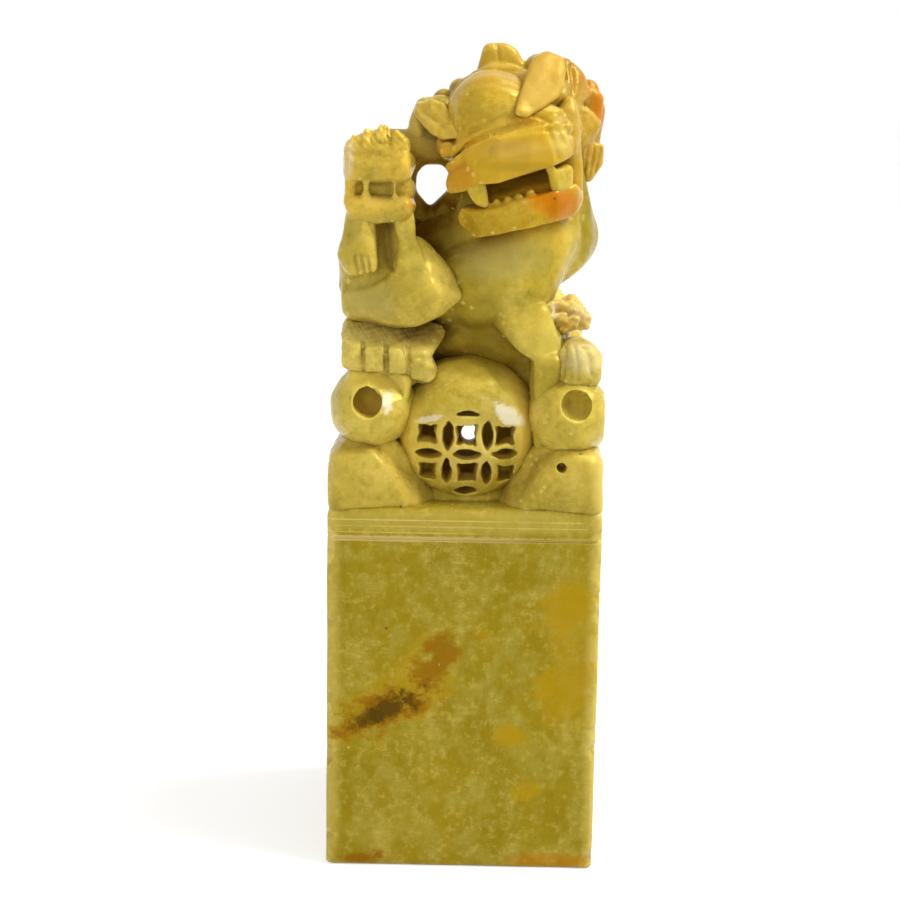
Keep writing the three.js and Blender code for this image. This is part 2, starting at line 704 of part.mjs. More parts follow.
// Stone left standing beside the ball, behind the pearl, up to the lion's belly
function cheekOfRock(flip) {
  const low = floor + cheekRadius + carvingGap;
  return core([flip * 10.4, -4.6, ball.z + 1, cheekRadius + 0.6], [flip * 8.8, -3, low, cheekRadius - 0.4],
    [flip * 8.6, -2.2, ballTop - 0.6, cheekRadius - 0.4], [flip * 9.4, side - 8.6, low + 1, cheekRadius],
    [flip * 9, 1.4, ball.z + 1.6, cheekRadius - 0.4]);
}

function rock(name, flip, back, height, cuts = []) {
  const low = floor + rockRound;
  const top = floor + height - rockRound;
  const near = side - 1.4;
  const far = back ? 5.6 : side - 9.6;
  const at = (x, y, z) => [flip * (side - x), (back ? 1 : -1) * y, z, rockRound];
  const forms = [
    hull(at(1, near, low), at(1.1, near, top), at(4.6, near, top), at(5.7, near, top - 1.2),
      at(8.7, near, low), at(1, far, low), at(1.1, far, top), at(6, far, top - 0.4), at(8.4, far, low)),
  ];
  if (back) {
    forms.push(cheekOfRock(flip));
  }
  carve(name, stone.rock, forms, cuts);
}

rock('left_front_rock', -1, false, rockHeight);
rock('right_front_rock', 1, false, rockHeight, [
  drill(side - 4.6, -side, floor + rockHeight - 1.5, pilotHoleRadius, 2.6),
]);
rock('left_rear_rock', -1, true, rearRockHeight);
rock('right_rear_rock', 1, true, rearRockHeight);

export default seal;
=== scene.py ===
# A carved soapstone seal: the looks of the block and of its knob, a lion and its cub on a pierced ball.
# Every form is cut in millimetres in the seal's own frame and brought to metres when it is finished.
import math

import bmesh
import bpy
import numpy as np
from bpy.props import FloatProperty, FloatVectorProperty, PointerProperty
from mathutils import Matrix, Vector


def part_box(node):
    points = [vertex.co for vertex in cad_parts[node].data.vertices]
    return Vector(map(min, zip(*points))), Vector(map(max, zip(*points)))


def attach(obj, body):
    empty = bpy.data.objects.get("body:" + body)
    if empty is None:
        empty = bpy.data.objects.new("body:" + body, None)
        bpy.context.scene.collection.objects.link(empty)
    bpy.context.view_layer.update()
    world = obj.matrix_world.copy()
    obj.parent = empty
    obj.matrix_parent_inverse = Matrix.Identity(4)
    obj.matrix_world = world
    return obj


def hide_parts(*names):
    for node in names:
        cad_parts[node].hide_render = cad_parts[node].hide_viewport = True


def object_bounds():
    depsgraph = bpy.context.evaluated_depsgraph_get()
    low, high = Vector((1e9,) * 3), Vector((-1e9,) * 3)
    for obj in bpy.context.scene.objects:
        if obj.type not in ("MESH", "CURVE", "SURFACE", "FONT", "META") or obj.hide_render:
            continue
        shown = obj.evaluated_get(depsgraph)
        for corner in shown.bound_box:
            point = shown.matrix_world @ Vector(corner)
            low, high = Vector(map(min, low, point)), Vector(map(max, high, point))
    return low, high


bl_info = {
    "name": "Carved Soapstone Seal",
    "version": (1, 0, 0),
    "blender": (4, 5, 0),
    "location": "3D View > Sidebar > Seal",
    "description": "Carves and finishes the visible stone of a soapstone seal",
    "category": "Object",
}

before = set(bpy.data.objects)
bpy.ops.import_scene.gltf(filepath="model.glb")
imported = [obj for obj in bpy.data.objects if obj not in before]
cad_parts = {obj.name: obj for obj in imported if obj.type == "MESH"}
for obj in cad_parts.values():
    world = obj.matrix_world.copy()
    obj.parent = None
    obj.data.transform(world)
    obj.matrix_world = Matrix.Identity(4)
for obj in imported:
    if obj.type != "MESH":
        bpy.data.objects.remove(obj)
CAD_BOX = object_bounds()

MM = 0.001
BLOCK_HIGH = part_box("seal_block")[1] / MM
SIDE = BLOCK_HIGH.x
FLOOR = BLOCK_HIGH.z
TOP = CAD_BOX[1][2] / MM

# Landmarks of the knob
BALL = Vector((0.0, 8.5 - SIDE, FLOOR + 7.4))
LEFT_PEARL = Vector((-10.5, -9.3, FLOOR + 10.2))
RIGHT_PEARL = Vector((11.3, -9.3, FLOOR + 9.6))
RUMP = Vector((-7.0, 3.6, FLOOR + 22.3))
SKULL = Vector((2.2, -6.0, FLOOR + 42.0))
HEAD_TILT = math.radians(18)


# Sizes and colours

def linear(red, green, blue):
    """A colour written as 0 to 255 in sRGB, as a linear one."""
    shares = (value / 255 for value in (red, green, blue))
    return tuple(share / 12.92 if share <= 0.04045 else ((share + 0.055) / 1.055) ** 2.4 for share in shares)


def length(name, millimetres, description):
    """A size of the panel, written in millimetres."""
    return FloatProperty(name=name, description=description, default=millimetres * MM, min=0,
                         unit="LENGTH", subtype="DISTANCE")


def colour(name, sample, description):
    """A colour of the panel, written as 0 to 255 in sRGB."""
    return FloatVectorProperty(name=name, description=description, default=linear(*sample), min=0, max=1,
                               size=3, subtype="COLOR")


class SealSizes(bpy.types.PropertyGroup):
    """Sizes that the carver chose freely."""
    ball_radius: length("Ball Radius", 8.1, "Outer radius of the pierced ball")
    ball_wall: length("Ball Wall", 2.4, "Thickness of the ball's shell")
    coin_pitch: length("Coin Pitch", 4.3, "Distance between the coins of the ball's lattice")
    coin_rib: length("Coin Rib", 0.45, "Width of the ribs between the lattice's openings")
    pearl_radius: length("Pearl Radius", 4.6, "Radius of the two pearls under the paws")
    eyelet_radius: length("Eyelet Radius", 1.6, "Radius of the hole drilled in each pearl")
    line_height: length("Line Height", 38.1, "Height of the line scribed round the block")
    line_width: length("Line Width", 0.36, "Width of the line scribed round the block")
    corner: length("Block Corner", 0.6, "Radius of the block's upright corners")


class SealColours(bpy.types.PropertyGroup):
    """Colours of the stone, and of the marks in it."""
    block: colour("Block", (162, 138, 22), "Olive stone of the block")
    rock: colour("Rocks", (208, 180, 76), "Stone of the rocks beside the ball")
    pearl: colour("Pearls", (222, 196, 84), "Stone of the pearls")
    ball: colour("Ball", (198, 172, 64), "Stone of the pierced ball")
    limb: colour("Paws", (236, 212, 108), "Stone of the lion's paws")
    body: colour("Body", (210, 182, 62), "Stone of the lion's body")
    haunch: colour("Haunches", (246, 216, 98), "Stone of the haunches and of the cub's body")
    brow: colour("Brows", (236, 198, 80), "Stone of the cub's head and the lion's ears")
    skull: colour("Forehead", (208, 170, 50), "Stone of the lion's forehead")
    lip: colour("Lips", (216, 172, 44), "Stone of the lion's lip and jaw")
    mane: colour("Mane", (192, 150, 48), "Stone of the mane")
    tooth: colour("Teeth", (212, 180, 60), "Stone of the fangs")
    tuft: colour("Rough Tuft", (248, 212, 130), "Stone of the unpolished tuft")
    olive: colour("Olive Clouds", (132, 112, 8), "Dark clouds in the stone")
    pale: colour("Pale Clouds", (226, 204, 108), "Milky clouds and threads in the stone")
    grey: colour("Ground Stone", (196, 180, 104), "Stone that was ground and not polished")
    chalk: colour("Chalk", (244, 236, 212), "White dust of fresh cuts and chips")
    orange: colour("Orange Skin", (208, 116, 0), "Orange skin of the stone where it is left on the head")
    brown: colour("Brown Vein", (74, 36, 0), "Brown vein across the block")
    amber: colour("Amber Veins", (184, 148, 10), "Yellow veins and corners of the block")
    # Painted shade: this colour darkens the hollows and recesses, where shade falls
    hollow: colour("Hollows", (94, 58, 0), "Brown depth of the hollows, where no light comes through")
    rose: colour("Rosy Skin", (206, 166, 78), "Rosy stone of the ears and of the lip's ends")
    rust: colour("Rusty Veins", (150, 98, 0), "Rusty rim of the brown vein and the spots near it")
    veil: colour("Veils", (176, 160, 66), "Milky veils in the block")
    scribe: colour("Scribed Line", (234, 206, 150), "Bare stone in the scribed line")


def size(name):
    """A size of the panel in millimetres."""
    return getattr(bpy.context.scene.seal_sizes, name) / MM


# Forms

def bead(bm, x, y, z, radius):
    """A ball of stone."""
    detail = 2 if radius < 0.7 else 3 if radius < 2.2 else 4
    bmesh.ops.create_icosphere(bm, subdivisions=detail, radius=radius, matrix=Matrix.Translation((x, y, z)))


def lump(bm, *beads):
    """The stone stretched round some beads, each given as x, y, z and radius."""
    part = bmesh.new()
    for x, y, z, radius in beads:
        bead(part, x, y, z, radius)
    bmesh.ops.delete(part, geom=part.faces[:], context="FACES_ONLY")
    hull = bmesh.ops.convex_hull(part, input=part.verts[:])
    spare = {item for key in ("geom_interior", "geom_unused") for item in hull[key]
             if isinstance(item, bmesh.types.BMVert)}
    bmesh.ops.delete(part, geom=list(spare), context="VERTS")
    add(bm, part)


def strand(bm, *beads):
    """A lock or limb that runs through its beads one after the other."""
    for start, end in zip(beads, beads[1:]):
        lump(bm, start, end)


def slab(bm, back, radius, *stations):
    """A lip of stone; each station across it is x, the front's y, its lower and upper edge and its swell."""
    beads = []
    for x, front, low, high, swell in stations:
        beads.append((x, front + radius, low + radius, radius))
        beads.append((x, front + radius, high - radius, radius))
        beads.append((x, front - swell + 0.6, (low + high) / 2, 0.6))
        beads.append((x, back, low + radius, radius))
        beads.append((x, back, high - radius, radius))
    lump(bm, *beads)


def leaf(bm, thick, swell, radius, *outline):
    """An ear: a thin slab within an outline, with a swollen middle."""
    middle = sum((Vector(point) for point in outline), Vector()) / len(outline)
    beads = [(x, y + depth, z, radius) for x, y, z in outline for depth in (radius, thick)]
    lump(bm, *beads, (middle.x, middle.y - swell + 1.2, middle.z, 1.2))


def oval(bm, x, y, z, radii, turn=0):
    """An ellipsoid, turned by degrees about Y."""
    spin = Matrix.Rotation(math.radians(turn), 3, "Y").to_quaternion()
    place = Matrix.LocRotScale(Vector((x, y, z)), spin, Vector(radii))
    bmesh.ops.create_icosphere(bm, subdivisions=5, radius=1, matrix=place)


def rod(bm, x, y, z, radius, depth):
    """A drill's path from its mouth along +Y."""
    place = Matrix.Translation((x, y + depth / 2, z)) @ Matrix.Rotation(math.pi / 2, 4, "X")
    bmesh.ops.create_cone(bm, cap_ends=True, segments=48, radius1=radius, radius2=radius, depth=depth,
                          matrix=place)


def add(bm, part):
    """Moves a part's mesh into bm."""
    spare = bpy.data.meshes.new("spare")
    part.to_mesh(spare)
    part.free()
    bm.from_mesh(spare)
    bpy.data.meshes.remove(spare)


def on_head(*beads):
    """Beads given about the middle of the tilted skull."""
    tilt = Matrix.Rotation(-HEAD_TILT, 3, "Y")
    return [(*(tilt @ Vector(place) + SKULL), radius) for *place, radius in beads]


# Meshes

def object_of(name, bm):
    """Puts a bmesh into the scene as a new object."""
    mesh = bpy.data.meshes.new(name)
    bm.to_mesh(mesh)
    bm.free()
    made = bpy.data.objects.new(name, mesh)
    bpy.context.scene.collection.objects.link(made)
    return made


def settled(piece):
    """Replaces a piece's mesh by what its modifiers make of it."""
    bpy.context.view_layer.update()
    graph = bpy.context.evaluated_depsgraph_get()
    made = bpy.data.meshes.new_from_object(piece.evaluated_get(graph))
    old = piece.data
    piece.modifiers.clear()
    piece.data = made
    bpy.data.meshes.remove(old)


def fuse(piece, grain):
    """Makes one skin of everything in the piece, with a point every grain millimetres."""
    remesh = piece.modifiers.new("fuse", "REMESH")
    remesh.mode = "VOXEL"
    remesh.voxel_size = grain
    settled(piece)


def soften(piece, rounds):
    """Rubs a piece's edges down."""
    smooth = piece.modifiers.new("soften", "SMOOTH")
    smooth.factor = 0.5
    smooth.iterations = rounds
    settled(piece)


def cut(piece, cutter, operation="DIFFERENCE"):
    """Takes the cutter's stone out of the piece."""
    boolean = piece.modifiers.new("cut", "BOOLEAN")
    boolean.operation = operation
    boolean.solver = "MANIFOLD"
    boolean.object = cutter
    settled(piece)
    bpy.data.objects.remove(cutter)


def carved(name, masses, details=None, cuts=None, grain=0.16, melt=10, rounds=3):
    """Melts the masses into each other, adds the details, takes the cuts out and rubs the edges down."""
    piece = object_of(name, masses)
    fuse(piece, grain * 1.6)
    soften(piece, melt)
    if details is not None:
        whole = bmesh.new()
        whole.from_mesh(piece.data)
        add(whole, details)
        whole.to_mesh(piece.data)
        whole.free()
    fuse(piece, grain)
    if cuts is not None:
        tool = object_of("tool", cuts)
        fuse(tool, grain * 0.7)
        cut(piece, tool)
        fuse(piece, grain)
    soften(piece, rounds)
    return piece


# Strokes of the graver on a finished skin

def skin(piece):
    """The places and the normals of a piece's points."""
    count = len(piece.data.vertices)
    places = np.empty(count * 3, np.float32)
    normals = np.empty(count * 3, np.float32)
    piece.data.vertices.foreach_get("co", places)
    piece.data.vertices.foreach_get("normal", normals)
    return places.reshape(-1, 3).astype(float), normals.reshape(-1, 3).astype(float)


def reshape(piece, places):
    """Moves a piece's points to new places."""
    piece.data.vertices.foreach_set("co", places.astype(np.float32).ravel())
    piece.data.update()


def groove(piece, line, width, depth, facing=(0, -1, 0)):
    """A groove along a line of points that is seen from one side; a negative depth raises a ridge."""
    places, normals = skin(piece)
    reach = 2.5
    look = np.array(Vector(facing).normalized())
    flat = places - np.outer(places @ look, look)
    nearest = np.full(len(places), np.inf)
    for start, end in zip(line, line[1:]):
        a = np.array(start) - look * (np.array(start) @ look)
        b = np.array(end) - look * (np.array(end) @ look)
        along = np.clip(((flat - a) @ (b - a)) / max((b - a) @ (b - a), 1e-9), 0, 1)
        offset = flat - a - np.outer(along, b - a)
        nearest = np.minimum(nearest, np.einsum("ij,ij->i", offset, offset))
    level = min(np.array(point) @ look for point in line) - reach
    shown = (normals @ look > 0.05) & (places @ look > level)
    push = np.exp(-nearest / width ** 2) * depth * shown
    reshape(piece, places - normals * push[:, None])


def flats(piece, count, deep, seed, radius=1.1):
    """Many small flats, such as the graver and the file leave on a rounded form."""
    sway = 0.12
    chance = np.random.default_rng(seed)
    places, normals = skin(piece)
    for chosen in chance.integers(0, len(places), count):
        up = normals[chosen] + chance.normal(size=3) * sway
        up /= np.linalg.norm(up)
        reach = np.linalg.norm(places - places[chosen], axis=1)
        over = (places - places[chosen]) @ up + deep
        near = reach < radius
        if over[near & (reach > 0.8 * radius)].max(initial=-1) > 0:
            continue
        over = np.where(near & (over > 0), over, 0)
        places -= np.outer(over, up)
    reshape(piece, places)


def facet(piece, centre, normal, radius):
    """A flat cut: what stands over its plane near the centre is taken down to it."""
    places, _ = skin(piece)
    up = np.array(Vector(normal).normalized())
    over = (places - np.array(centre)) @ up
    near = np.linalg.norm(places - np.array(centre), axis=1) < radius
    reshape(piece, places - np.outer(np.where(near & (over > 0), over, 0), up))


def trim(piece):
    """Nothing stands out of the squared stone that the knob was cut from."""
    places, _ = skin(piece)
    places[:, :2] = np.clip(places[:, :2], -SIDE, SIDE)
    places[:, 2] = np.clip(places[:, 2], 0, TOP)
    reshape(piece, places)


def ripple(piece, height, length, seed, share=None):
    """The unevenness of a surface that was rubbed down by hand."""
    waves = 9
    chance = np.random.default_rng(seed)
    places, normals = skin(piece)
    push = np.zeros(len(places))
    for _ in range(waves):
        way = chance.normal(size=3)
        way /= np.linalg.norm(way)
        push += np.sin(places @ way * (2 * math.pi / (length * chance.uniform(0.5, 1.6)))
                       + chance.uniform(0, 2 * math.pi))
    if share is not None:
        push *= share(places)
    reshape(piece, places + normals * (push * height / 3)[:, None])


# The block, the rocks and the pearls

def seal_block():
    """The squared block with its chipped edges and the line scribed round it."""
    shoulder = 1
    foot_edge = 0.3
    blade = 0.4
    grain = 0.34
    line_grain = 0.1
    bm = bmesh.new()
    place = Matrix.LocRotScale(Vector((0, 0, FLOOR / 2)), None, Vector((2 * SIDE, 2 * SIDE, FLOOR)))
    bmesh.ops.create_cube(bm, size=1, matrix=place)
    upright = [edge for edge in bm.edges if abs(edge.verts[0].co.z - edge.verts[1].co.z) > 1]
    bmesh.ops.bevel(bm, geom=upright, offset=size("corner"), segments=4, profile=0.5, affect="EDGES",
                    material=-1)
    top = [edge for edge in bm.edges if all(vert.co.z > FLOOR - 0.01 for vert in edge.verts)]
    bmesh.ops.bevel(bm, geom=top, offset=shoulder, segments=6, profile=0.5, affect="EDGES", material=-1)
    foot = [edge for edge in bm.edges if all(vert.co.z < 0.01 for vert in edge.verts)]
    bmesh.ops.bevel(bm, geom=foot, offset=foot_edge, segments=2, profile=0.5, affect="EDGES", material=-1)
    block = object_of("block", bm)
    fuse(block, grain)
    ripple(block, 0.03, 9, seed=61)
    chips(block)
    trim(block)
    line = bmesh.new()
    for turn in range(4):
        matrix = (Matrix.Rotation(turn * math.pi / 2, 4, "Z")
                  @ Matrix.Translation((0, -SIDE, size("line_height")))
                  @ Matrix.Diagonal((2 * SIDE + 2, blade, size("line_width"), 1)))
        bmesh.ops.create_cube(line, size=1, matrix=matrix)
    tool = object_of("line", line)
    fuse(tool, line_grain)
    cut(block, tool)
    return block


def chips(block):
    """Small chips along the block's upright and lower edges."""
    chance = np.random.default_rng(77)
    upright_chips = 46
    foot_chips = 16
    for _ in range(upright_chips):
        across, along = chance.choice((-1, 1), 2)
        height = chance.uniform(1, FLOOR - 2)
        deep = 0.2 + chance.random() ** 3 * 0.3
        facet(block, (across * (SIDE - deep), along * (SIDE - deep), height),
              (across, along, chance.normal() * 0.5), 0.5 + deep * 1.6)
    for _ in range(foot_chips):
        turn = chance.integers(0, 4) * math.pi / 2
        along = chance.uniform(-SIDE + 2, SIDE - 2)
        way = Matrix.Rotation(turn, 3, "Z")
        facet(block, way @ Vector((along, -SIDE + 0.1, 0.1)), way @ Vector((chance.normal() * 0.3, -1, -1)),
              chance.uniform(0.3, 0.8))


def rock(name, flip, back, height, cuts=None):
    """A rock at a corner of the block: flip is its side, and a rock at the back carries a rear paw."""
    bm = bmesh.new()
    turn = 1 if back else -1
    near = SIDE - 1.3
    far = 5.2 if back else SIDE - 9.8
    top = FLOOR + height

    def at(x, y, z, radius):
        return flip * (SIDE - x), turn * y, z, radius

    # The rock itself, and a low ledge towards the ball
    lump(bm, at(1.2, near, FLOOR + 0.2, 1.3), at(1.7, near - 1.0, top - 1.9, 1.8),
         at(4.4, near - 0.8, top - 1.7, 1.6), at(5.8, near - 0.9, top - 3.0, 1.8),
         at(8.2, near - 0.4, FLOOR + 0.6, 1.0), at(1.0, far, FLOOR + 0.4, 0.9),
         at(1.2, far, top - 1.0, 1.0), at(6.0, far, top - 1.3, 0.9), at(8.4, far, FLOOR + 0.5, 0.7),
         at(4.3, SIDE - 3.2, FLOOR + 2.6, 3.2))
    lump(bm, at(8.2, near, FLOOR, 0.8), at(9.6, near - 0.8, FLOOR - 0.4, 0.6),
         at(11, near - 4, FLOOR - 0.6, 0.9), at(8.6, near - 4.6, FLOOR + 2.2, 1.8),
         at(6.4, near - 3, FLOOR + 3.4, 1.6))
    if back:
        # The stone that fills the inside between the rocks
        lump(bm, (flip * 10.4, -4.6, BALL.z + 1, 3.6), (flip * 8.8, -3, FLOOR + 2, 2.6),
             (flip * 8.6, -2.2, BALL.z + 7.4, 2.6), (flip * 9.4, 6, FLOOR + 3, 3),
             (flip * 9, 1.4, BALL.z + 1.6, 2.6))
    else:
        # A second, rear crag below the pearl
        lump(bm, at(3.0, near - 2.4, top - 0.6, 1.5), at(6.4, near - 3.4, top - 0.8, 1.4),
             at(7.6, near - 3.6, FLOOR + 4.6, 1.3), at(4, near - 5, FLOOR + 3, 2),
             at(8.4, near - 3.8, FLOOR + 2, 1.3))
    piece = carved(name, bm, cuts=cuts, melt=12)
    ripple(piece, 0.12, 5, seed=11 + int(flip) + 2 * int(back))
    flats(piece, 60, 0.07, 51 + int(flip) + 2 * int(back), 1.3)
    trim(piece)
    return piece


def pearl(name, place, hole_x, hole_z, depth):
    """A pearl under a front paw, webbed to the ball and drilled from the front."""
    radius = size("pearl_radius")
    bm = bmesh.new()
    oval(bm, *place, (radius, radius + 0.8, radius))
    if place.x > 0:
        # The web between the pearl and the ball
        lump(bm, (8.9, -10.6, 52.4, 1.5), (9.4, -10.2, 49.6, 1.6), (12, -8, 52, 3))
    else:
        # The web between the pearl and the ball, and the stone between the pearl and the toes
        lump(bm, (-6.9, -9.6, 53.0, 1.3), (-6.9, -9.4, 49.8, 1.4), (-10, -9.4, 51.6, 3.4))
        lump(bm, (-12.2, -11.5, 55.3, 0.9), (-6.9, -11.6, 55.0, 0.9), (-11.6, -11.6, 53.4, 1.4),
             (-7.6, -11.4, 53.4, 1.4))
    hole = bmesh.new()
    rod(hole, hole_x, -SIDE - 1, hole_z, size("eyelet_radius"), depth + 1)
    bead(hole, hole_x, -SIDE + depth - 0.3, hole_z, size("eyelet_radius") * 0.96)
    piece = carved(name, bm, cuts=hole, grain=0.14, melt=6)
    ripple(piece, 0.08, 4, seed=31)
    if place.x < 0:
        facet(piece, (-8.5, -13.7, 53.0), (0.5, -0.85, 0.35), 1.3)
    flats(piece, 50, 0.05, 33, 1.0)
    trim(piece)
    return piece


# The pierced ball

def pierced_ball():
    """The hollow ball with its coin lattice in front and a window behind."""
    radius = size("ball_radius")
    face_radius = 13
    sink = 1.3
    window_radius = 0.95
    window_drop = 2.0
    lattice_drop = 1.8
    slip = 0.08
    waver = 0.05
    grain = 0.15
    bm = bmesh.new()
    bmesh.ops.create_icosphere(bm, subdivisions=6, radius=radius, matrix=Matrix.Translation(BALL))
    ball = object_of("ball_of_coins", bm)
    face = bmesh.new()
    middle = Vector((BALL.x, BALL.y - radius + sink + face_radius, BALL.z + 0.6))
    bmesh.ops.create_icosphere(face, subdivisions=6, radius=face_radius, matrix=Matrix.Translation(middle))
    cut(ball, object_of("face", face), "INTERSECT")
    hollow = bmesh.new()
    place = Matrix.Translation((BALL.x, BALL.y + sink / 2, BALL.z))
    bmesh.ops.create_icosphere(hollow, subdivisions=5, radius=radius - size("ball_wall"), matrix=place)
    rod(hollow, BALL.x + 0.3, BALL.y, BALL.z - window_drop, window_radius, 2 * radius)
    tool = object_of("hollow", hollow)
    fuse(tool, grain)
    cut(ball, tool)
    lattice = bmesh.new()
    chance = np.random.default_rng(7)
    lattice_middle = BALL.x + 0.1, BALL.z - lattice_drop
    # No two openings are quite alike: each is moved a little and its outline wavers
    for outline in coin_openings(*lattice_middle, size("coin_pitch"), size("coin_rib")):
        aside = chance.normal(size=2) * slip
        places = [(x + aside[0] + chance.normal() * waver, z + aside[1] + chance.normal() * waver)
                  for x, z in outline]
        add(lattice, tapered(places, 1.3, 0.5))
    cut(ball, object_of("openings", lattice))
    # A low foot of stone fills the corner between the ball and the block
    foot = bmesh.new()
    foot.from_mesh(ball.data)
    lump(foot, (-4.6, -9.0, 41.7, 0.8), (-2.4, -10.2, 41.5, 0.8), (2.4, -10.2, 41.5, 0.8),
         (4.6, -9.0, 41.7, 0.8), (-3, -6, 41.9, 1.0), (3, -6, 41.9, 1.0))
    foot.to_mesh(ball.data)
    foot.free()
    fuse(ball, grain)
    soften(ball, 2)
    ripple(ball, 0.06, 3, seed=2)
    return ball


def tapered(outline, wide, narrow):
    """A cutter with an outline in x and z, wide in front of the seal and narrow in the ball's middle."""
    bm = bmesh.new()
    middle = sum((Vector(point) for point in outline), Vector((0, 0))) / len(outline)
    rings = []
    for share, y in ((wide, -SIDE - 1), (narrow, -SIDE + 7)):
        ring = [middle + (Vector(point) - middle) * share for point in outline]
        rings.append([bm.verts.new((x, y, z)) for x, z in ring])
    for ring in rings:
        bm.faces.new(ring)
    for step in range(len(outline)):
        following = (step + 1) % len(outline)
        bm.faces.new((rings[0][step], rings[0][following], rings[1][following], rings[1][step]))
    bmesh.ops.recalc_face_normals(bm, faces=bm.faces[:])
    return bm


def arc(x, z, radius, start, end, steps=8):
    """Points along a circle in x and z, without the end itself."""
    return [(x + radius * math.cos(start + (end - start) * step / steps),
             z + radius * math.sin(start + (end - start) * step / steps)) for step in range(steps)]


def coin_openings(x, z, pitch, rib):
    """Outlines of the openings between overlapping coins: squares, standing petals and lying petals."""
    radius = pitch / math.sqrt(2)
    inner = radius - rib / 2
    outer = radius + rib / 2
    reach = math.acos(pitch / 2 / inner)
    corner = (pitch - math.sqrt(2 * outer ** 2 - pitch ** 2)) / 2
    spread = math.atan2(corner, pitch - corner)

    def petal(across, up, standing):
        first = 0 if standing else math.pi / 2
        dx, dz = (pitch / 2, 0) if standing else (0, pitch / 2)
        return (arc(across - dx, up - dz, inner, first - reach, first + reach)
                + arc(across + dx, up + dz, inner, first + math.pi - reach, first + math.pi + reach))

    def square(across, up):
        sides = [arc(across - pitch * math.cos(quarter * math.pi / 2),
                     up - pitch * math.sin(quarter * math.pi / 2), outer, quarter * math.pi / 2 + spread,
                     quarter * math.pi / 2 - spread) for quarter in range(4)]
        return [point for side in sides for point in side][::-1]

    made = []
    for row in (-1, 1):
        made += [square(x + column * pitch, z + row * pitch / 2) for column in (-1, 0, 1)]
        made += [petal(x + column * pitch / 2, z + row * pitch / 2, True) for column in (-1, 1)]
    made += [petal(x + column * pitch, z, False) for column in (-1, 0, 1)]
    made.append(petal(x, z - pitch, False))
    made.append([point for point in petal(x, z + pitch, False) if point[1] > z + pitch - 0.01])
    return made


# The lion's limbs and body

def left_paw():
    """The broad paw that rests on the left pearl, with four toes."""
    masses = bmesh.new()
    # The back of the paw, and its heel on the pearl
    lump(masses, (-12.8, -11.6, 58.3, 0.9), (-5.0, -11.5, 57.6, 0.9), (-12.6, -7.4, 60.2, 1.3),
         (-3.6, -7.6, 59.6, 1.1), (-9, -3.5, 58.9, 2.6), (-12.3, -11.6, 57.0, 1.1),
         (-6.0, -11.5, 56.6, 1.1))
    lump(masses, (-11.6, -10.0, 55.8, 1.6), (-6.8, -9.8, 55.4, 1.6), (-9, -6, 57, 3))
    toes = bmesh.new()
    edges = (-13.7, -11.3, -8.8, -6.45)
    for toe, (left, right) in enumerate(zip(edges, edges[1:])):
        top = 58.7 - 0.22 * toe
        foot = 56.7 - 0.2 * toe
        front = -13.0 + 0.5 * (toe == 0)
        lump(toes, (left + 0.42, front, top, 0.3), (right - 0.36, front, top, 0.3),
             (left + 0.5, front + 0.2, foot, 0.36), (right - 0.44, front + 0.2, foot, 0.36),
             (left + 0.6, -9.8, top + 0.9, 0.5), (right - 0.6, -9.8, top + 0.9, 0.5),
             (left + 0.8, -10, foot - 0.2, 0.7), (right - 0.8, -10, foot - 0.2, 0.7),
             ((left + right) / 2, front - 0.3, (top + foot) / 2, 0.4))
    # The fourth toe is turned towards the ball
    lump(toes, (-5.6, -12.1, 57.1, 0.7), (-4.3, -11.6, 56.5, 0.7), (-5.6, -11.9, 55.8, 0.7),
         (-4.3, -11.4, 55.5, 0.7), (-5.2, -9, 57.8, 1.1), (-4.6, -8.6, 55.4, 1.4))
    piece = carved("paw_left", masses, toes, grain=0.12, rounds=3)
    # Flats filed on the toes, the grooves between them, and strokes across the ground back
    facet(piece, (-12.9, -12.8, 58.4), (-0.62, -0.62, 0.48), 1.2)
    facet(piece, (-12.6, -12.9, 57.1), (-0.3, -0.9, -0.25), 1.0)
    facet(piece, (-7.6, -13.3, 58.2), (0.25, -0.7, 0.65), 0.9)
    for between in edges[1:]:
        line = [(between, -14, 59.2), (between + 0.05, -14, 57.8), (between + 0.1, -14, 56.0)]
        groove(piece, line, 0.2, 0.25)
    ripple(piece, 0.05, 3, seed=5)
    for step in range(9):
        across = -13.0 + step * 1.1
        groove(piece, [(across, -10, 60.6), (across + 1.6, -12, 59.0)], 0.13, 0.06)
    ripple(piece, 0.04, 0.8, seed=16, share=lambda places: (places[:, 2] > 59.0) * (places[:, 1] > -11.9))
    flats(piece, 90, 0.05, 25, 0.7)
    trim(piece)
    return piece


def right_paw():
    """The small rounded paw on the right pearl."""
    bm = bmesh.new()
    lump(bm, (11.4, -10.6, 57.4, 1.8), (13.0, -9.6, 57.3, 1.8), (11.6, -10.9, 56.0, 1.8),
         (13.0, -10.3, 55.8, 1.7), (12, -7, 57.4, 2.1), (12.4, -9.2, 54.6, 1.8))
    piece = carved("paw_right", bm, grain=0.13, melt=5)
    groove(piece, [(12.5, -13, 59.2), (13.2, -13, 58.0), (13.5, -13, 56.0)], 0.28, 0.3)
    groove(piece, [(10.6, -13, 58.8), (10.3, -13, 57.4), (10.2, -13, 55.8)], 0.3, 0.3)
    groove(piece, [(11.5, -13, 59.0), (11.9, -13, 57.4), (12.0, -13, 55.6)], 0.25, 0.16)
    ripple(piece, 0.06, 3, seed=6)
    flats(piece, 60, 0.06, 26, 0.8)
    trim(piece)
    return piece


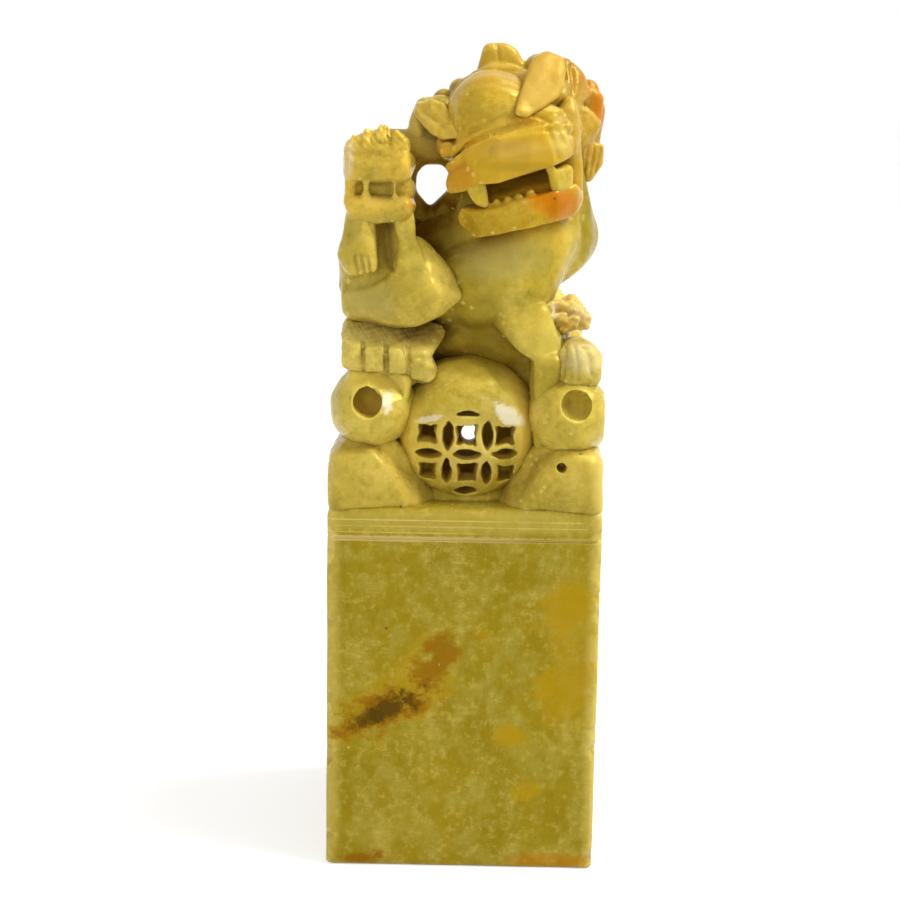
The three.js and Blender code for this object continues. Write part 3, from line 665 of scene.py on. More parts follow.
def trunk():
    """The lion's chest, neck and belly, and the right foreleg down to its pearl."""
    masses = bmesh.new()
    # Chest and right shoulder, then the breast and the belly
    lump(masses, (9.0, -1.6, 70.2, 5.2), (3.6, -2.2, 66.4, 5.2), (-1.6, -3, 64.2, 4.8))
    lump(masses, (8.6, -1.0, 76.6, 4.2), (9.3, -1.4, 70.2, 5.0))
    lump(masses, (7.6, -5.2, 69.6, 4.3), (3.8, -5.6, 66.4, 4.4), (0.3, -5.2, 65.2, 4.1),
         (1.2, -5.2, 63.2, 3.4), (5.8, -5.6, 64.0, 3.6))
    # Neck and throat
    lump(masses, (6, -0.6, 77.8, 4.0), (8.0, 0.4, 78, 4.2), (2.4, -0.4, 75.3, 3.6), (7.7, 0.2, 72.1, 4.9))
    lump(masses, (0.6, -3.4, 76.6, 1.9), (1.0, -3.6, 73.4, 2.2), (4, -2, 76, 3), (4, -2, 72, 4),
         (-0.2, -4.4, 71.4, 1.6))
    # The flank behind the cub, and the stone above and behind the ball
    lump(masses, (-3.2, -1.2, 68.8, 3.6), (-6.6, -1.6, 68.6, 3.4), (1.4, -2, 70, 4), (-4, -2, 64, 4))
    lump(masses, (-2.4, -0.6, 58.7, 3.2), (3.6, -0.6, 58.7, 3.2), (0, 2.2, 54.6, 3))
    lump(masses, (-1, -4.6, 59.8, 1.8), (4.6, -5.6, 59.6, 2.0), (1, -1, 60, 3))
    lump(masses, (-4.5, -4.0, 58.0, 1.8), (-1, -5.2, 58.7, 1.7), (4, -5.4, 58.5, 1.7),
         (6.2, -4.4, 57.2, 1.8), (0, -2, 57, 2.6))
    for flip in (-1, 1):
        lump(masses, (flip * 6.2, -3.4, 58.6, 2.2), (flip * 8.8, -4.4, 53, 2.6), (flip * 8.8, -4.4, 50, 2.4),
             (flip * 5, -1, 60, 2.4), (flip * 6.8, -1, 55, 1.8), (flip * 9, -3, 60, 2.6))
    details = bmesh.new()
    # The right foreleg, from the elbow down to the pearl
    lump(details, (4.4, -7.8, 62.2, 1.3), (7.6, -8.2, 61.8, 1.5), (8.9, -9.2, 59.0, 1.3),
         (9.0, -10.2, 57.4, 1.2), (7.6, -11.3, 57.7, 0.6), (6.0, -10.6, 58.7, 0.6), (4.6, -9.2, 60.2, 0.8),
         (3.6, -8.2, 61.0, 0.8), (8.6, -3, 57, 1.4), (9.6, -3, 61, 1.4), (4.4, -3, 61.6, 1.2))
    lump(details, (8.0, -11.1, 57.2, 0.9), (9.3, -10.9, 57.0, 1.2), (8.0, -10.8, 52.0, 0.9),
         (9.2, -10.4, 51.0, 1.2), (8.4, -10.4, 48.0, 1.0), (8.8, -4, 49, 1.8), (8.6, -4, 57, 1.8))
    piece = carved("trunk", masses, details, grain=0.18, melt=12, rounds=4)
    groove(piece, [(12.6, -4, 74.6), (12.2, -4, 72), (12.6, -4, 70.0), (12.4, -4, 67.6)], 0.5, 0.3)
    groove(piece, [(4.0, -9, 63.9), (5.6, -9, 64.2), (7.4, -9, 63.9)], 0.7, 0.25)
    ripple(piece, 0.12, 5, seed=3)
    flats(piece, 150, 0.07, 43, 1.2)
    trim(piece)
    return piece


def hindquarters():
    """The rump, the two thighs and the rear paws."""
    masses = bmesh.new()
    # The rump and the two thighs
    lump(masses, (*RUMP, 5.8), (3, 2.4, 64.2, 5.6))
    lump(masses, (RUMP.x - 0.4, RUMP.y + 1.6, RUMP.z - 0.6, 4.8), (-9.8, 9.0, 57.6, 4.0), (-6.6, 8.8, 58, 3))
    lump(masses, (3.4, 4.4, 64, 4.9), (9.4, 8.4, 57.8, 4.2), (6.4, 8.8, 58, 3))
    details = bmesh.new()
    for flip in (-1, 1):
        # A rear paw with its toes
        lump(details, (flip * 10.6, 9, 53, 2.5), (flip * 12.2, 12.2, 52.2, 1.4),
             (flip * 8.8, 12.4, 52.2, 1.4), (flip * 10.5, 13.0, 52, 1.6), (flip * 10.4, 7, 56.8, 3))
        for toe in (-1, 0, 1):
            strand(details, (flip * 10.5 + toe * 1.7, 11.6, 53, 1.1),
                   (flip * 10.5 + toe * 1.9, 13.5, 51.8, 1.0))
    piece = carved("hindquarters", masses, details, grain=0.2, melt=14, rounds=3)
    for flip in (-1, 1):
        thigh = [(flip * 5.6, 9, 66), (flip * 8.6, 11, 63), (flip * 9.4, 12, 59), (flip * 7.6, 12, 56)]
        groove(piece, thigh, 0.6, 0.5, facing=(0, 1, 0))
        flank = [(flip * 14, 5, 63), (flip * 14, 8, 60), (flip * 14, 10, 56.6)]
        groove(piece, flank, 0.5, 0.35, facing=(flip, 0, 0))
    ripple(piece, 0.1, 5, seed=8)
    flats(piece, 120, 0.07, 48, 1.3)
    trim(piece)
    return piece


def tail():
    """The bushy tail laid up the lion's back, in three flames."""
    masses = bmesh.new()
    strand(masses, (-5.2, 8.4, 60.6, 1.8), (-2.4, 9.4, 64.2, 2.6), (0.6, 9.0, 68.4, 2.7),
           (3.4, 7.4, 72.4, 2.2), (5.8, 5.2, 75.6, 1.2))
    details = bmesh.new()
    # The left and the right flame, and the ridge of the spine
    strand(details, (-3.0, 9.6, 63.0, 1.7), (-4.0, 9.6, 66.4, 1.8), (-3.2, 8.6, 69.4, 1.4),
           (-1.8, 8.0, 71.6, 0.7))
    strand(details, (-0.6, 10.4, 64.6, 1.6), (3.4, 10.0, 66.6, 1.7), (5.6, 8.6, 69.6, 1.4),
           (5.8, 7.6, 72.0, 0.7))
    strand(details, (-7.4, 5.4, 67.4, 1.3), (-3.0, 5.6, 68.0, 1.4), (1.6, 5.2, 69.6, 1.6))
    piece = carved("tail_plume", masses, details)
    for shift in (-1.1, 0, 1.1):
        line = [(-3.6 + shift, 12, 62.6), (-1.4 + shift, 12, 66), (1.4 + shift, 12, 70),
                (4 + shift * 0.4, 11, 74)]
        groove(piece, line, 0.22, 0.28, facing=(0, 1, 0))
    ripple(piece, 0.06, 3, seed=19)
    trim(piece)
    return piece


def rough_tuft():
    """The crumbly tuft behind the right elbow, which was never polished."""
    bm = bmesh.new()
    lump(bm, (11.4, -5.8, 61.9, 1.6), (10.2, -6.0, 61.6, 1.4), (12.6, -5.6, 61.0, 1.1), (11.4, -5, 63.0, 0.9))
    lump(bm, (9.0, -7.0, 62.9, 0.8), (9.8, -7.0, 60.8, 1.0), (10.4, -6, 60.6, 1.2))
    crumbs = ((8.9, -8.4, 63.0, 0.5), (9.9, -7.8, 63.2, 0.6), (11.0, -7.4, 62.9, 0.7),
              (12.1, -7.0, 62.3, 0.7), (13.0, -6.4, 61.4, 0.6), (10.2, -8.2, 61.7, 0.7),
              (11.5, -7.6, 61.3, 0.7), (9.2, -8.6, 61.8, 0.5), (10.6, -7.8, 60.5, 0.6))
    for x, y, z, radius in crumbs:
        lump(bm, (x - 0.3, y, z, radius * 0.6), (x + 0.3, y + 0.1, z + 0.2, radius * 0.5),
             (x, y + 0.4, z - 0.3, radius))
    piece = carved("rough_tuft", bm, grain=0.11, melt=2, rounds=2)
    ripple(piece, 0.08, 0.9, seed=22)
    flats(piece, 80, 0.1, 23, 0.6)
    trim(piece)
    return piece


# The cub

def cub_trunk():
    """The cub's haunch, body and neck, with its two arms."""
    masses = bmesh.new()
    # The bent haunch, and the hip at the corner
    lump(masses, (-1.7, -9.3, 64.1, 1.0), (-3.0, -9.2, 66.6, 1.1), (-4.6, -9.4, 68.4, 1.2),
         (-5.9, -9.6, 69.4, 1.1), (-4.6, -11.2, 65.0, 1.7), (-6.6, -11.4, 63.6, 1.9),
         (-6.4, -10.6, 62.4, 1.8), (-3.4, -9.8, 62.8, 1.2), (-9.2, -10.0, 62.8, 1.9),
         (-8.4, -9.2, 66.6, 1.6), (-9.5, -5, 63.5, 4), (-5, -6, 64, 3))
    lump(masses, (-12.2, -8.6, 62.6, 1.7), (-12.3, -8.9, 65.4, 1.7), (-9.2, -10.0, 62.8, 1.8),
         (-9.2, -9.6, 65.4, 1.8), (-9.5, -5, 64, 4))
    # The body, the neck, the left arm and the breast
    lump(masses, (-10.1, -4.2, 65.7, 4.2), (-9.8, -4.0, 70.4, 3.4))
    lump(masses, (-9.7, -5.8, 76.5, 2.7), (-9.7, -4.6, 71.5, 3))
    lump(masses, (-12.4, -7.0, 72.2, 1.3), (-12.9, -8.2, 68.2, 1.4), (-12.5, -7, 65, 1.9),
         (-11.4, -7, 70.4, 1.6))
    lump(masses, (-10.6, -7.4, 71.8, 1.6), (-7.8, -7.8, 71.8, 1.6), (-10.4, -8.4, 67.6, 1.6),
         (-8.0, -8.6, 67.0, 1.6), (-9.4, -4, 69, 3))
    details = bmesh.new()
    # The left arm with its paw, and the right arm in two lengths
    lump(details, (-12.2, -9.9, 72.2, 1.2), (-11.2, -10.4, 71.8, 1.0), (-12.8, -10.2, 68.4, 1.4),
         (-12.4, -11.2, 67.2, 0.9), (-10.6, -11.9, 67.2, 0.7), (-10.9, -11.0, 69.2, 0.9),
         (-12.2, -11.2, 68.6, 0.9), (-11.6, -7, 71, 1.8), (-11.6, -8, 67, 2))
    lump(details, (-7.7, -10.9, 72.6, 0.6), (-6.5, -10.7, 72.8, 0.6), (-7.2, -11.2, 70.0, 0.5),
         (-6.3, -11.0, 70.0, 0.5), (-6.8, -8, 71, 0.8))
    lump(details, (-7.2, -11.2, 70.2, 0.5), (-6.3, -11.0, 70.2, 0.5), (-7.2, -11.7, 67.4, 0.9),
         (-5.6, -11.2, 67.8, 0.9), (-6.6, -8, 68, 1.2))
    piece = carved("cub_trunk", masses, details, grain=0.15, melt=8, rounds=4)
    ripple(piece, 0.08, 4, seed=4)
    # Grooves between the claws, above the haunch and beside the right arm
    for across in (-12.2, -11.5, -10.8):
        groove(piece, [(across - 0.1, -12, 68.4), (across + 0.3, -12, 66.6)], 0.17, 0.24)
    groove(piece, [(-9.2, -12, 66.4), (-10.8, -12, 65.4), (-13.4, -12, 64.8)], 0.45, 0.5)
    groove(piece, [(-9.2, -10, 72.2), (-9.0, -10, 70.0), (-8.6, -11, 67.6)], 0.6, 0.7)
    flats(piece, 150, 0.07, 44, 1.0)
    trim(piece)
    return piece


def cub_head():
    """The cub's square head: a serrated crown, two pillars across the eyes and a lip below them."""
    masses = bmesh.new()
    # The crown, the outer side of the head and the ground of the face
    lump(masses, (-13.0, -11.5, 77.0, 0.5), (-7.0, -11.9, 77.0, 0.5), (-13.0, -11.2, 79.6, 0.5),
         (-11.4, -11.3, 79.9, 0.5), (-8.2, -11.3, 79.8, 0.5), (-7.1, -11.5, 79.2, 0.5),
         (-12.4, -6.8, 78.0, 1.2), (-7.4, -6.8, 78.0, 1.4), (-9.7, -7, 79.0, 1.2), (-12.4, -6.8, 76.4, 1.4),
         (-12.6, -11.8, 78.2, 0.5), (-7.4, -12.0, 78.2, 0.5))
    lump(masses, (-12.9, -10.8, 77, 0.6), (-12.9, -10.9, 74, 0.6), (-12.4, -7.6, 75.4, 1.2))
    lump(masses, (-12.4, -9.5, 75.7, 1.2), (-12.1, -9.5, 75.4, 1.2), (-12, -8, 76, 1.2))
    lump(masses, (-12, -8.9, 75.6, 1.3), (-7.4, -8.9, 75.6, 1.3), (-12, -8.4, 77, 1.3), (-7.4, -8.4, 74, 1.3))
    details = bmesh.new()
    # The lip, and the two pillars that narrow in their middle
    lump(details, (-12.2, -11.1, 73.6, 1.15), (-7.1, -11.2, 73.6, 1.1), (-12.1, -10.7, 72.8, 1.0),
         (-7.3, -10.8, 72.9, 1.0), (-11.6, -7, 73.5, 1.5), (-7.4, -7, 73.5, 1.5), (-6.6, -9.8, 73.6, 0.8))
    for x, wide in ((-11.1, 0.62), (-8.1, 0.42)):
        for bend, foot in ((-1, 74.5), (1, 76.9)):
            strand(details, (x, -11.5, 75.7, 0.2), (x, -11.45, 75.7 + bend * 0.45, 0.24),
                   (x, -11.4, foot, wide))
    # The serrated hair
    lump(details, (-12.9, -11.1, 79.6, 0.4), (-9.2, -11.1, 80.4, 0.4), (-12.6, -10.6, 80.4, 0.3),
         (-9.4, -10.6, 81.2, 0.3), (-12, -7.6, 80, 0.8), (-9.4, -7.6, 80.6, 0.8))
    for tip in range(9):
        x = -13.1 + 0.49 * tip
        z = 80.6 + 0.2 * tip + (0.25 if tip % 3 == 1 else -0.1)
        lump(details, (x, -10.3, z, 0.14), (x + 0.3, -10.7, z - 0.8, 0.18), (x - 0.3, -10.9, z - 0.9, 0.18),
             (x + 0.25, -11.4, z - 1.5, 0.2), (x - 0.25, -11.4, z - 1.4, 0.2), (x, -7.6, z - 0.8, 0.5))
    # The inner lock of the hair, with its notches
    lump(details, (-7.9, -11.2, 81.4, 0.3), (-7.1, -11.3, 80.4, 0.35), (-6.9, -11.5, 78.4, 0.4),
         (-8.3, -11.7, 79.2, 0.35), (-8.5, -11.3, 80.6, 0.3), (-7.6, -8, 80.2, 0.9))
    for notch in range(4):
        bead(details, -6.85 - 0.1 * notch, -11.4, 78.8 + 0.6 * notch, 0.34)
    piece = carved("cub_head_stone", masses, details, grain=0.12, melt=4, rounds=2)
    ripple(piece, 0.1, 3, seed=14)
    ripple(piece, 0.05, 0.9, seed=24, share=lambda places: places[:, 2] > 79.4)
    groove(piece, [(-8.8, -12, 81.8), (-8.6, -12, 80.4)], 0.22, 0.35)
    groove(piece, [(-12.6, -12, 79.1), (-10.4, -12, 79.3), (-8.6, -12, 79.0)], 0.3, 0.14)
    flats(piece, 160, 0.07, 64, 0.8)
    trim(piece)
    return piece


def linking_strand():
    """The lock between the cub and the lion, with the opening that is seen through."""
    bm = bmesh.new()
    # The lock's bow above the opening, and the opening's left side
    strand(bm, (-9.0, -4.6, 80.4, 1.3), (-7.4, -4.2, 79.9, 1.7), (-5.6, -3.6, 79.6, 1.9),
           (-3.4, -3, 79.7, 2.0), (-1, -2.4, 79.6, 2.1))
    strand(bm, (-8.6, -3.6, 79.8, 1.6), (-7.4, -3.4, 77.6, 1.5), (-7.2, -3.4, 75.4, 1.2),
           (-7.2, -3.4, 72.4, 1.5))
    strand(bm, (-5.2, -3.0, 84.0, 1.1), (-5.9, -3.6, 82.2, 1.1), (-5.7, -5.0, 80.6, 0.5),
           (-5.5, -5.0, 79.8, 0.4))
    # The rounded corners of the opening, and its right side
    lump(bm, (-6.6, -3.6, 77.8, 1.2), (-5.6, -3.6, 78.7, 1.0), (-7.4, -3.2, 78.6, 1.4),
         (-7.4, -3.4, 76.8, 1.2))
    lump(bm, (-2.0, -3, 78.3, 1.2), (-1.2, -3, 77.0, 1.0), (-1.2, -2.6, 79.0, 1.4), (-3.0, -3, 78.9, 1.0))
    lump(bm, (-5.0, -3, 84.0, 1.0), (-3.4, -2.4, 84.2, 1.2), (-3.4, -1.4, 81, 2), (-1.4, -2.4, 79.4, 1.4))
    strand(bm, (-1.9, -2.6, 78.8, 1.6), (-1.0, -3.0, 76.6, 1.2), (-1.1, -3.4, 74.0, 1.5))
    # The opening's rounded foot, in two halves
    lump(bm, (-7.4, -3.2, 74.8, 1.1), (-6.9, -3.4, 73.8, 1.0), (-5.4, -3.0, 71.4, 1.1),
         (-4.2, -2.8, 71.1, 1.1), (-5.4, 0, 69.6, 2))
    lump(bm, (-5.0, -2.8, 71.1, 1.1), (-3.6, -2.8, 71.3, 1.1), (-1.7, -3.0, 73.4, 1.0),
         (-1.1, -3, 75.0, 1.1), (-3.4, 0, 70.2, 2))
    piece = carved("linking_strand", bm, grain=0.15, melt=8)
    groove(piece, [(-7.6, -6, 81.4), (-5.6, -6, 80.9), (-3.6, -6, 81.0)], 0.3, 0.2)
    flats(piece, 60, 0.05, 65, 0.9)
    return piece


# The lion's head

def lion_face():
    """The forehead, the brows, the cheek and the upper lip with the step of the nose."""
    masses = bmesh.new()
    # The skull, the bony forehead and the right cheek
    oval(masses, 2.2, -6.2, 83.3, (4.9, 5.2, 4.9), -18)
    lump(masses, (-0.6, -9.4, 80.8, 1.0), (2.6, -10.4, 82.2, 1.0), (6.2, -10.2, 83.0, 1.0),
         (8.9, -9.0, 83.6, 0.9), (1.2, -9.2, 83.6, 1.4), (5.2, -8.8, 84.7, 1.3), (1, -6, 80, 2.4),
         (8.4, -5, 81, 2.4))
    lump(masses, (10.3, -6.4, 84.6, 0.9), (10.7, -7.4, 82.4, 0.9), (10.6, -8.2, 80.0, 1.0),
         (10.6, -5, 82, 1.6), (8.6, -8.4, 80.6, 1.2))
    lump(masses, (10.4, -6, 80.4, 1.6), (10.9, -6.6, 77.2, 1.3), (10.8, -6.8, 75, 1.3), (8, -3, 78, 3))
    # The left cheek below the folded ear
    lump(masses, (-2.9, -7.6, 80.0, 1.0), (-1.2, -8.6, 79.4, 1.0), (-1.5, -5, 79.8, 1.8),
         (-2.4, -5, 81.6, 1.4))
    details = bmesh.new()
    # The upper lip in two steps, and the bridge above it
    slab(details, -5, 0.4, (-2.1, -10.9, 75.1, 77.4, 0.1), (-0.6, -11.8, 75.4, 78.2, 0.2),
         (0.4, -12.2, 75.7, 78.9, 0.3))
    slab(details, -5, 0.4, (-0.3, -11.9, 76.0, 79.9, 0.1), (3.0, -12.9, 76.5, 81.3, 0.4),
         (6.2, -12.7, 77.6, 81.9, 0.4), (8.6, -11.9, 78.3, 82.0, 0.3), (10.4, -10.0, 79.0, 81.4, 0.2))
    lump(details, (3.0, -12.0, 80.8, 0.7), (6.2, -11.8, 81.6, 0.7), (8.8, -10.6, 82.4, 0.8),
         (9.9, -9.6, 82.2, 0.9), (2.6, -9.6, 82.0, 1.0), (8.4, -8.6, 83.2, 1.0))
    # The right brow, the two folds of the left one, and the rolled ends of the lip
    lump(details, (6.4, -9.8, 84.2, 0.6), (7.6, -9.6, 83.9, 0.65), (8.7, -9.2, 83.3, 0.65),
         (7.6, -7, 83.6, 1.3))
    strand(details, (-1.9, -9.6, 79.4, 0.6), (-0.4, -10.4, 80.6, 0.6), (1.4, -11.0, 81.6, 0.6),
           (3.6, -11.1, 82.6, 0.55), (5.6, -10.8, 83.4, 0.5))
    strand(details, (-2.2, -10.2, 77.9, 0.6), (-0.9, -11.0, 79.0, 0.55), (0.6, -11.6, 80.3, 0.5),
           (2.4, -12.0, 81.3, 0.45))
    bead(details, 10.0, -9.9, 80.8, 0.85)
    bead(details, 9.6, -10.6, 81.5, 0.7)
    bead(details, -2.6, -8.9, 79.6, 0.95)
    piece = carved("face", masses, details, grain=0.15, melt=7, rounds=5)
    groove(piece, [(-0.6, -12, 80.2), (-1.1, -12, 79.2), (-0.7, -12, 78.0)], 0.25, 0.2)
    groove(piece, [(0.7, -12, 78.6), (1.7, -12, 79.2), (2.0, -12, 80.1)], 0.25, 0.15)
    groove(piece, [(-0.4, -10, 80.4), (1.8, -11, 81.5), (4.6, -12, 82.3), (7.4, -11, 82.8)], 0.25, 0.2)
    groove(piece, [(-0.2, -10, 81.8), (2.2, -10, 82.9), (5.0, -10, 84.0)], 0.25, 0.2)
    groove(piece, [(9.7, -10, 83.8), (9.9, -10, 82.2), (10.9, -10, 80.2)], 0.3, 0.2)
    groove(piece, [(5.9, -10, 84.9), (6.6, -10, 83.6), (8.2, -10, 82.9)], 0.25, 0.2)
    groove(piece, [(8.0, -12, 82.2), (8.8, -12, 80.8), (9.2, -12, 79.2)], 0.3, 0.22)
    groove(piece, [(3.6, -12, 79.9), (5.2, -12, 80.7), (7.0, -12, 80.9)], 0.5, 0.12)
    ripple(piece, 0.06, 0.9, seed=47, share=lambda places: np.exp(
        -((places[:, 0] - 5.4) / 2.2) ** 2 - ((places[:, 2] - 82.9) / 0.7) ** 2) * (places[:, 1] < -7))
    ripple(piece, 0.07, 3.5, seed=17)
    flats(piece, 200, 0.06, 67, 0.9)
    trim(piece)
    return piece


def lion_ears():
    """The folded left ear and the long right one."""
    bm = bmesh.new()
    leaf(bm, 1.8, 0.3, 0.25, (-5.8, -5.2, 84.3), (-4.4, -5.9, 84.7), (-3.0, -6.8, 84.1), (-1.9, -8.4, 82.4),
         (-1.2, -9.7, 81.1), (-3.1, -8.9, 80.9), (-4.4, -7.8, 81.5), (-5.4, -6.4, 82.4), (-6.1, -5.6, 83.5))
    leaf(bm, 2.4, 0.1, 0.35, (4.9, -11.9, 83.8), (5.2, -11.0, 85.0), (5.7, -9.4, 86.8), (6.3, -7.9, 88.3),
         (7.0, -6.9, 89.4), (8.0, -6.3, 89.9), (9.4, -6.4, 89.3), (9.7, -6.9, 88.2), (9.5, -8.2, 86.4),
         (8.8, -9.3, 85.5), (7.3, -10.7, 84.5), (5.8, -11.7, 83.6))
    piece = carved("ears", bm, grain=0.12, melt=2, rounds=3)
    groove(piece, [(-5.4, -7, 83.7), (-4.6, -7, 83.2), (-3.4, -8, 82.5), (-2.4, -8, 81.8)], 0.45, 0.4)
    groove(piece, [(8.5, -7, 88.6), (8.2, -8, 87.2), (7.4, -9, 85.8), (6.4, -11, 84.6)], 0.8, 0.18)
    ripple(piece, 0.06, 3, seed=9)
    flats(piece, 90, 0.06, 69, 0.9)
    trim(piece)
    return piece


def lion_jaw():
    """The lower jaw with its row of small teeth."""
    masses = bmesh.new()
    slab(masses, -4, 0.4, (-0.7, -10.3, 71.6, 73.6, 0.0), (0.7, -11.5, 70.5, 73.6, 0.1),
         (3.2, -12.2, 70.9, 73.9, 0.3), (6.5, -12.2, 71.7, 74.9, 0.3), (9.0, -11.6, 72.3, 75.8, 0.3),
         (11.0, -9.4, 72.8, 76.3, 0.2), (11.8, -7.4, 73.4, 75.8, 0.1))
    lump(masses, (2.4, -9.4, 74.0, 0.8), (8.4, -9, 75.8, 0.8), (3, -6.4, 75.6, 1.2), (8.4, -6.4, 76.8, 1.2))
    details = bmesh.new()
    teeth = ((1.9, 74.0, 0.45), (2.8, 74.3, 0.5), (4.0, 74.6, 0.5), (5.1, 74.9, 0.5), (6.4, 75.3, 0.55))
    for x, z, radius in teeth:
        strand(details, (x, -11.0, z, radius), (x, -10.8, z - 0.8, radius))
    piece = carved("jaw", masses, details, grain=0.13, melt=4, rounds=4)
    facet(piece, (0.0, -10.9, 72.6), (-0.75, -0.6, -0.3), 3)
    ripple(piece, 0.08, 3.5, seed=37)
    flats(piece, 70, 0.05, 70, 0.9)
    return piece


def lion_fangs():
    """The two upper fangs."""
    bm = bmesh.new()
    lump(bm, (-0.3, -11.4, 76.4, 0.5), (1.0, -11.6, 76.4, 0.6), (0.5, -11.6, 75.2, 0.7),
         (1.3, -11.6, 75.0, 0.6), (1.5, -11.6, 74.2, 0.5), (0.9, -11.5, 74.4, 0.5))
    strand(bm, (7.9, -11.3, 79.0, 0.6), (8.6, -11.1, 77.6, 0.5), (9.0, -10.9, 76.3, 0.65))
    lump(bm, (8.8, -11.0, 77.4, 0.5), (9.1, -10.8, 75.9, 0.6), (10.2, -9, 77.6, 0.8), (10.2, -9, 75.8, 0.8))
    piece = carved("fangs", bm, grain=0.12, melt=3, rounds=2)
    flats(piece, 40, 0.06, 71, 0.6)
    return piece


def mane_locks():
    """The crown tuft, the locks beside the face and the five locks down the back of the head."""
    back_locks = (-3.4, -0.6, 2.4, 5.4, 8.2)
    masses = bmesh.new()
    lump(masses, *on_head((5.2, 4.2, -1.6, 4.6), (0.6, 4.4, 0, 4.4), (3, 4.4, -4.5, 4.4)))
    details = bmesh.new()
    # The crown tuft and the roll in front of it
    lump(details, (2.1, -0.2, 89.0, 1.2), (2.1, -0.5, 89.9, 1.1), (3.4, -0.5, 90.2, 0.9),
         (4.0, -0.5, 89.8, 0.9), (5.4, -0.8, 87.8, 0.9), (1.6, -0.6, 87.8, 1.2))
    strand(details, (0.6, -1.9, 87.0, 1.0), (2.2, -1.9, 87.8, 1.0), (4.4, -2.1, 87.8, 0.9),
           (6.4, -2.5, 86.9, 0.9))
    # Locks above the folded ear
    lump(details, (-1.4, -2.4, 84.6, 1.3), (-0.5, -1.8, 86.1, 1.1), (0.4, -1.4, 86.8, 1.0), (0.6, -1, 85, 2))
    lump(details, (-4.4, -3.4, 83.6, 1.0), (-3.2, -3.0, 83.9, 1.1), (-2.4, -2, 83, 1.6))
    # Locks beside the right ear and the right cheek
    lump(details, (9.9, -1.6, 88.2, 1.3), (11.2, -1.2, 87.0, 1.4), (11.7, -1.2, 85.8, 1.3),
         (10.4, -2.8, 85.0, 1.5), (9.2, -1.0, 88.2, 1.2))
    lump(details, (13.0, -0.2, 85.6, 0.9), (13.8, -0.2, 85.0, 0.8), (13.7, -0.2, 83.0, 0.8),
         (12.2, 0.6, 84, 1.6))
    lump(details, (12.3, -2.2, 83.4, 0.9), (13.4, -1.8, 82.4, 0.9), (12.6, -2.2, 80.9, 0.9),
         (11.4, -2.8, 80.6, 1.4), (11.6, -0.6, 82, 2))
    lump(details, (14.2, -1.5, 79.8, 0.6), (14.0, -1.5, 78.2, 0.7), (13.0, -1.9, 76.6, 0.6),
         (12.2, -2.2, 79.6, 1.0))
    # The five locks at the back, and one at each side of them
    for lock, x in enumerate(back_locks):
        inward = abs(lock - 2) * 0.7
        curl = 0.8 if lock % 2 else -0.8
        strand(details,
               *on_head((x * 0.75, 6.6 - inward, 3.2, 1.4), (x * 0.9, 8.4 - inward, 0.4, 1.7),
                        (x + curl * 0.5, 8.8 - inward, -2.8, 1.8), (x - curl, 8.6 - inward, -5.8, 1.5),
                        (x - curl * 0.2, 8.2 - inward, -8.2, 0.9)))
    strand(details, (13.0, 1.4, 86.0, 1.2), (13.6, 2.0, 83.8, 1.3), (13.4, 1.8, 80.6, 1.2),
           (13.0, 1.2, 78.2, 0.7))
    strand(details, (-3.2, 0.6, 84.6, 1.3), (-4.0, 1.0, 81.8, 1.3), (-3.2, 1.4, 79.8, 0.9))
    piece = carved("mane_locks", masses, details, grain=0.16, melt=8)
    for lock, x in enumerate(back_locks):
        curl = 0.8 if lock % 2 else -0.8
        for shift in (-0.5, 0.5):
            stations = on_head((x * 0.75 + shift, 9, 3.2, 1), (x * 0.9 + shift, 9, 0.4, 1),
                               (x + curl * 0.5 + shift, 9, -2.8, 1), (x - curl + shift, 9, -5.8, 1),
                               (x - curl * 0.2, 9, -8, 1))
            groove(piece, [station[:3] for station in stations], 0.18, 0.22, facing=(0, 1, 0))
    hairs = (((13.2, -3, 76.8), (13.6, -3, 80.0)), ((13.8, -3, 77.2), (14.4, -3, 79.8)),
             ((12.6, -3, 77.4), (12.8, -3, 80.0)))
    for hair in hairs:
        groove(piece, hair, 0.14, 0.16)
    groove(piece, [(10.8, -3, 88.6), (11.0, -3, 86.6), (10.8, -3, 84.6)], 0.3, 0.2)
    groove(piece, [(2.6, -2, 90.8), (2.9, -2, 89.2)], 0.2, 0.2)
    ripple(piece, 0.08, 3.5, seed=41)
    flats(piece, 180, 0.06, 72, 1.0)
    trim(piece)
    return piece


# Stone

def node(tree, kind, inputs=None, **settings):
    """Adds a node; a socket among its inputs is linked, and any other value is set."""
    made = tree.nodes.new("ShaderNode" + kind)
    for key, value in settings.items():
        setattr(made, key, value)
    for socket, value in (inputs or {}).items():
        if isinstance(value, bpy.types.NodeSocket):
            tree.links.new(value, made.inputs[socket])
        else:
            made.inputs[socket].default_value = value
    return made


def noise(tree, vector, scale, detail=4, roughness=0.55):
    """Noise of a scale per metre."""
    return node(tree, "TexNoise", {"Vector": vector, "Scale": scale, "Detail": detail,
                                   "Roughness": roughness}).outputs["Fac"]


def span(tree, value, low, high, at_low=0.0, at_high=1.0):
    """Maps low..high of a value smoothly to at_low..at_high."""
    return node(tree, "MapRange", {"Value": value, "From Min": low, "From Max": high, "To Min": at_low,
                                   "To Max": at_high}, interpolation_type="SMOOTHSTEP").outputs["Result"]


def times(tree, a, b, operation="MULTIPLY"):
    """The product of two values, or what another operation makes of them."""
    return node(tree, "Math", {0: a, 1: b}, operation=operation,
                use_clamp=operation == "ADD").outputs["Value"]


def tint(tree, factor, below, above):
    """Lays one colour over another."""
    return node(tree, "Mix", {0: factor, 6: below, 7: above}, data_type="RGBA").outputs[2]


def stretched(tree, place, scale, turn=(0, 0, 0), shift=(0, 0, 0)):
    """The place scaled, turned and shifted, so that a pattern runs another way."""
    return node(tree, "Mapping", {"Vector": place, "Location": shift, "Rotation": turn,
                                  "Scale": scale}).outputs["Vector"]


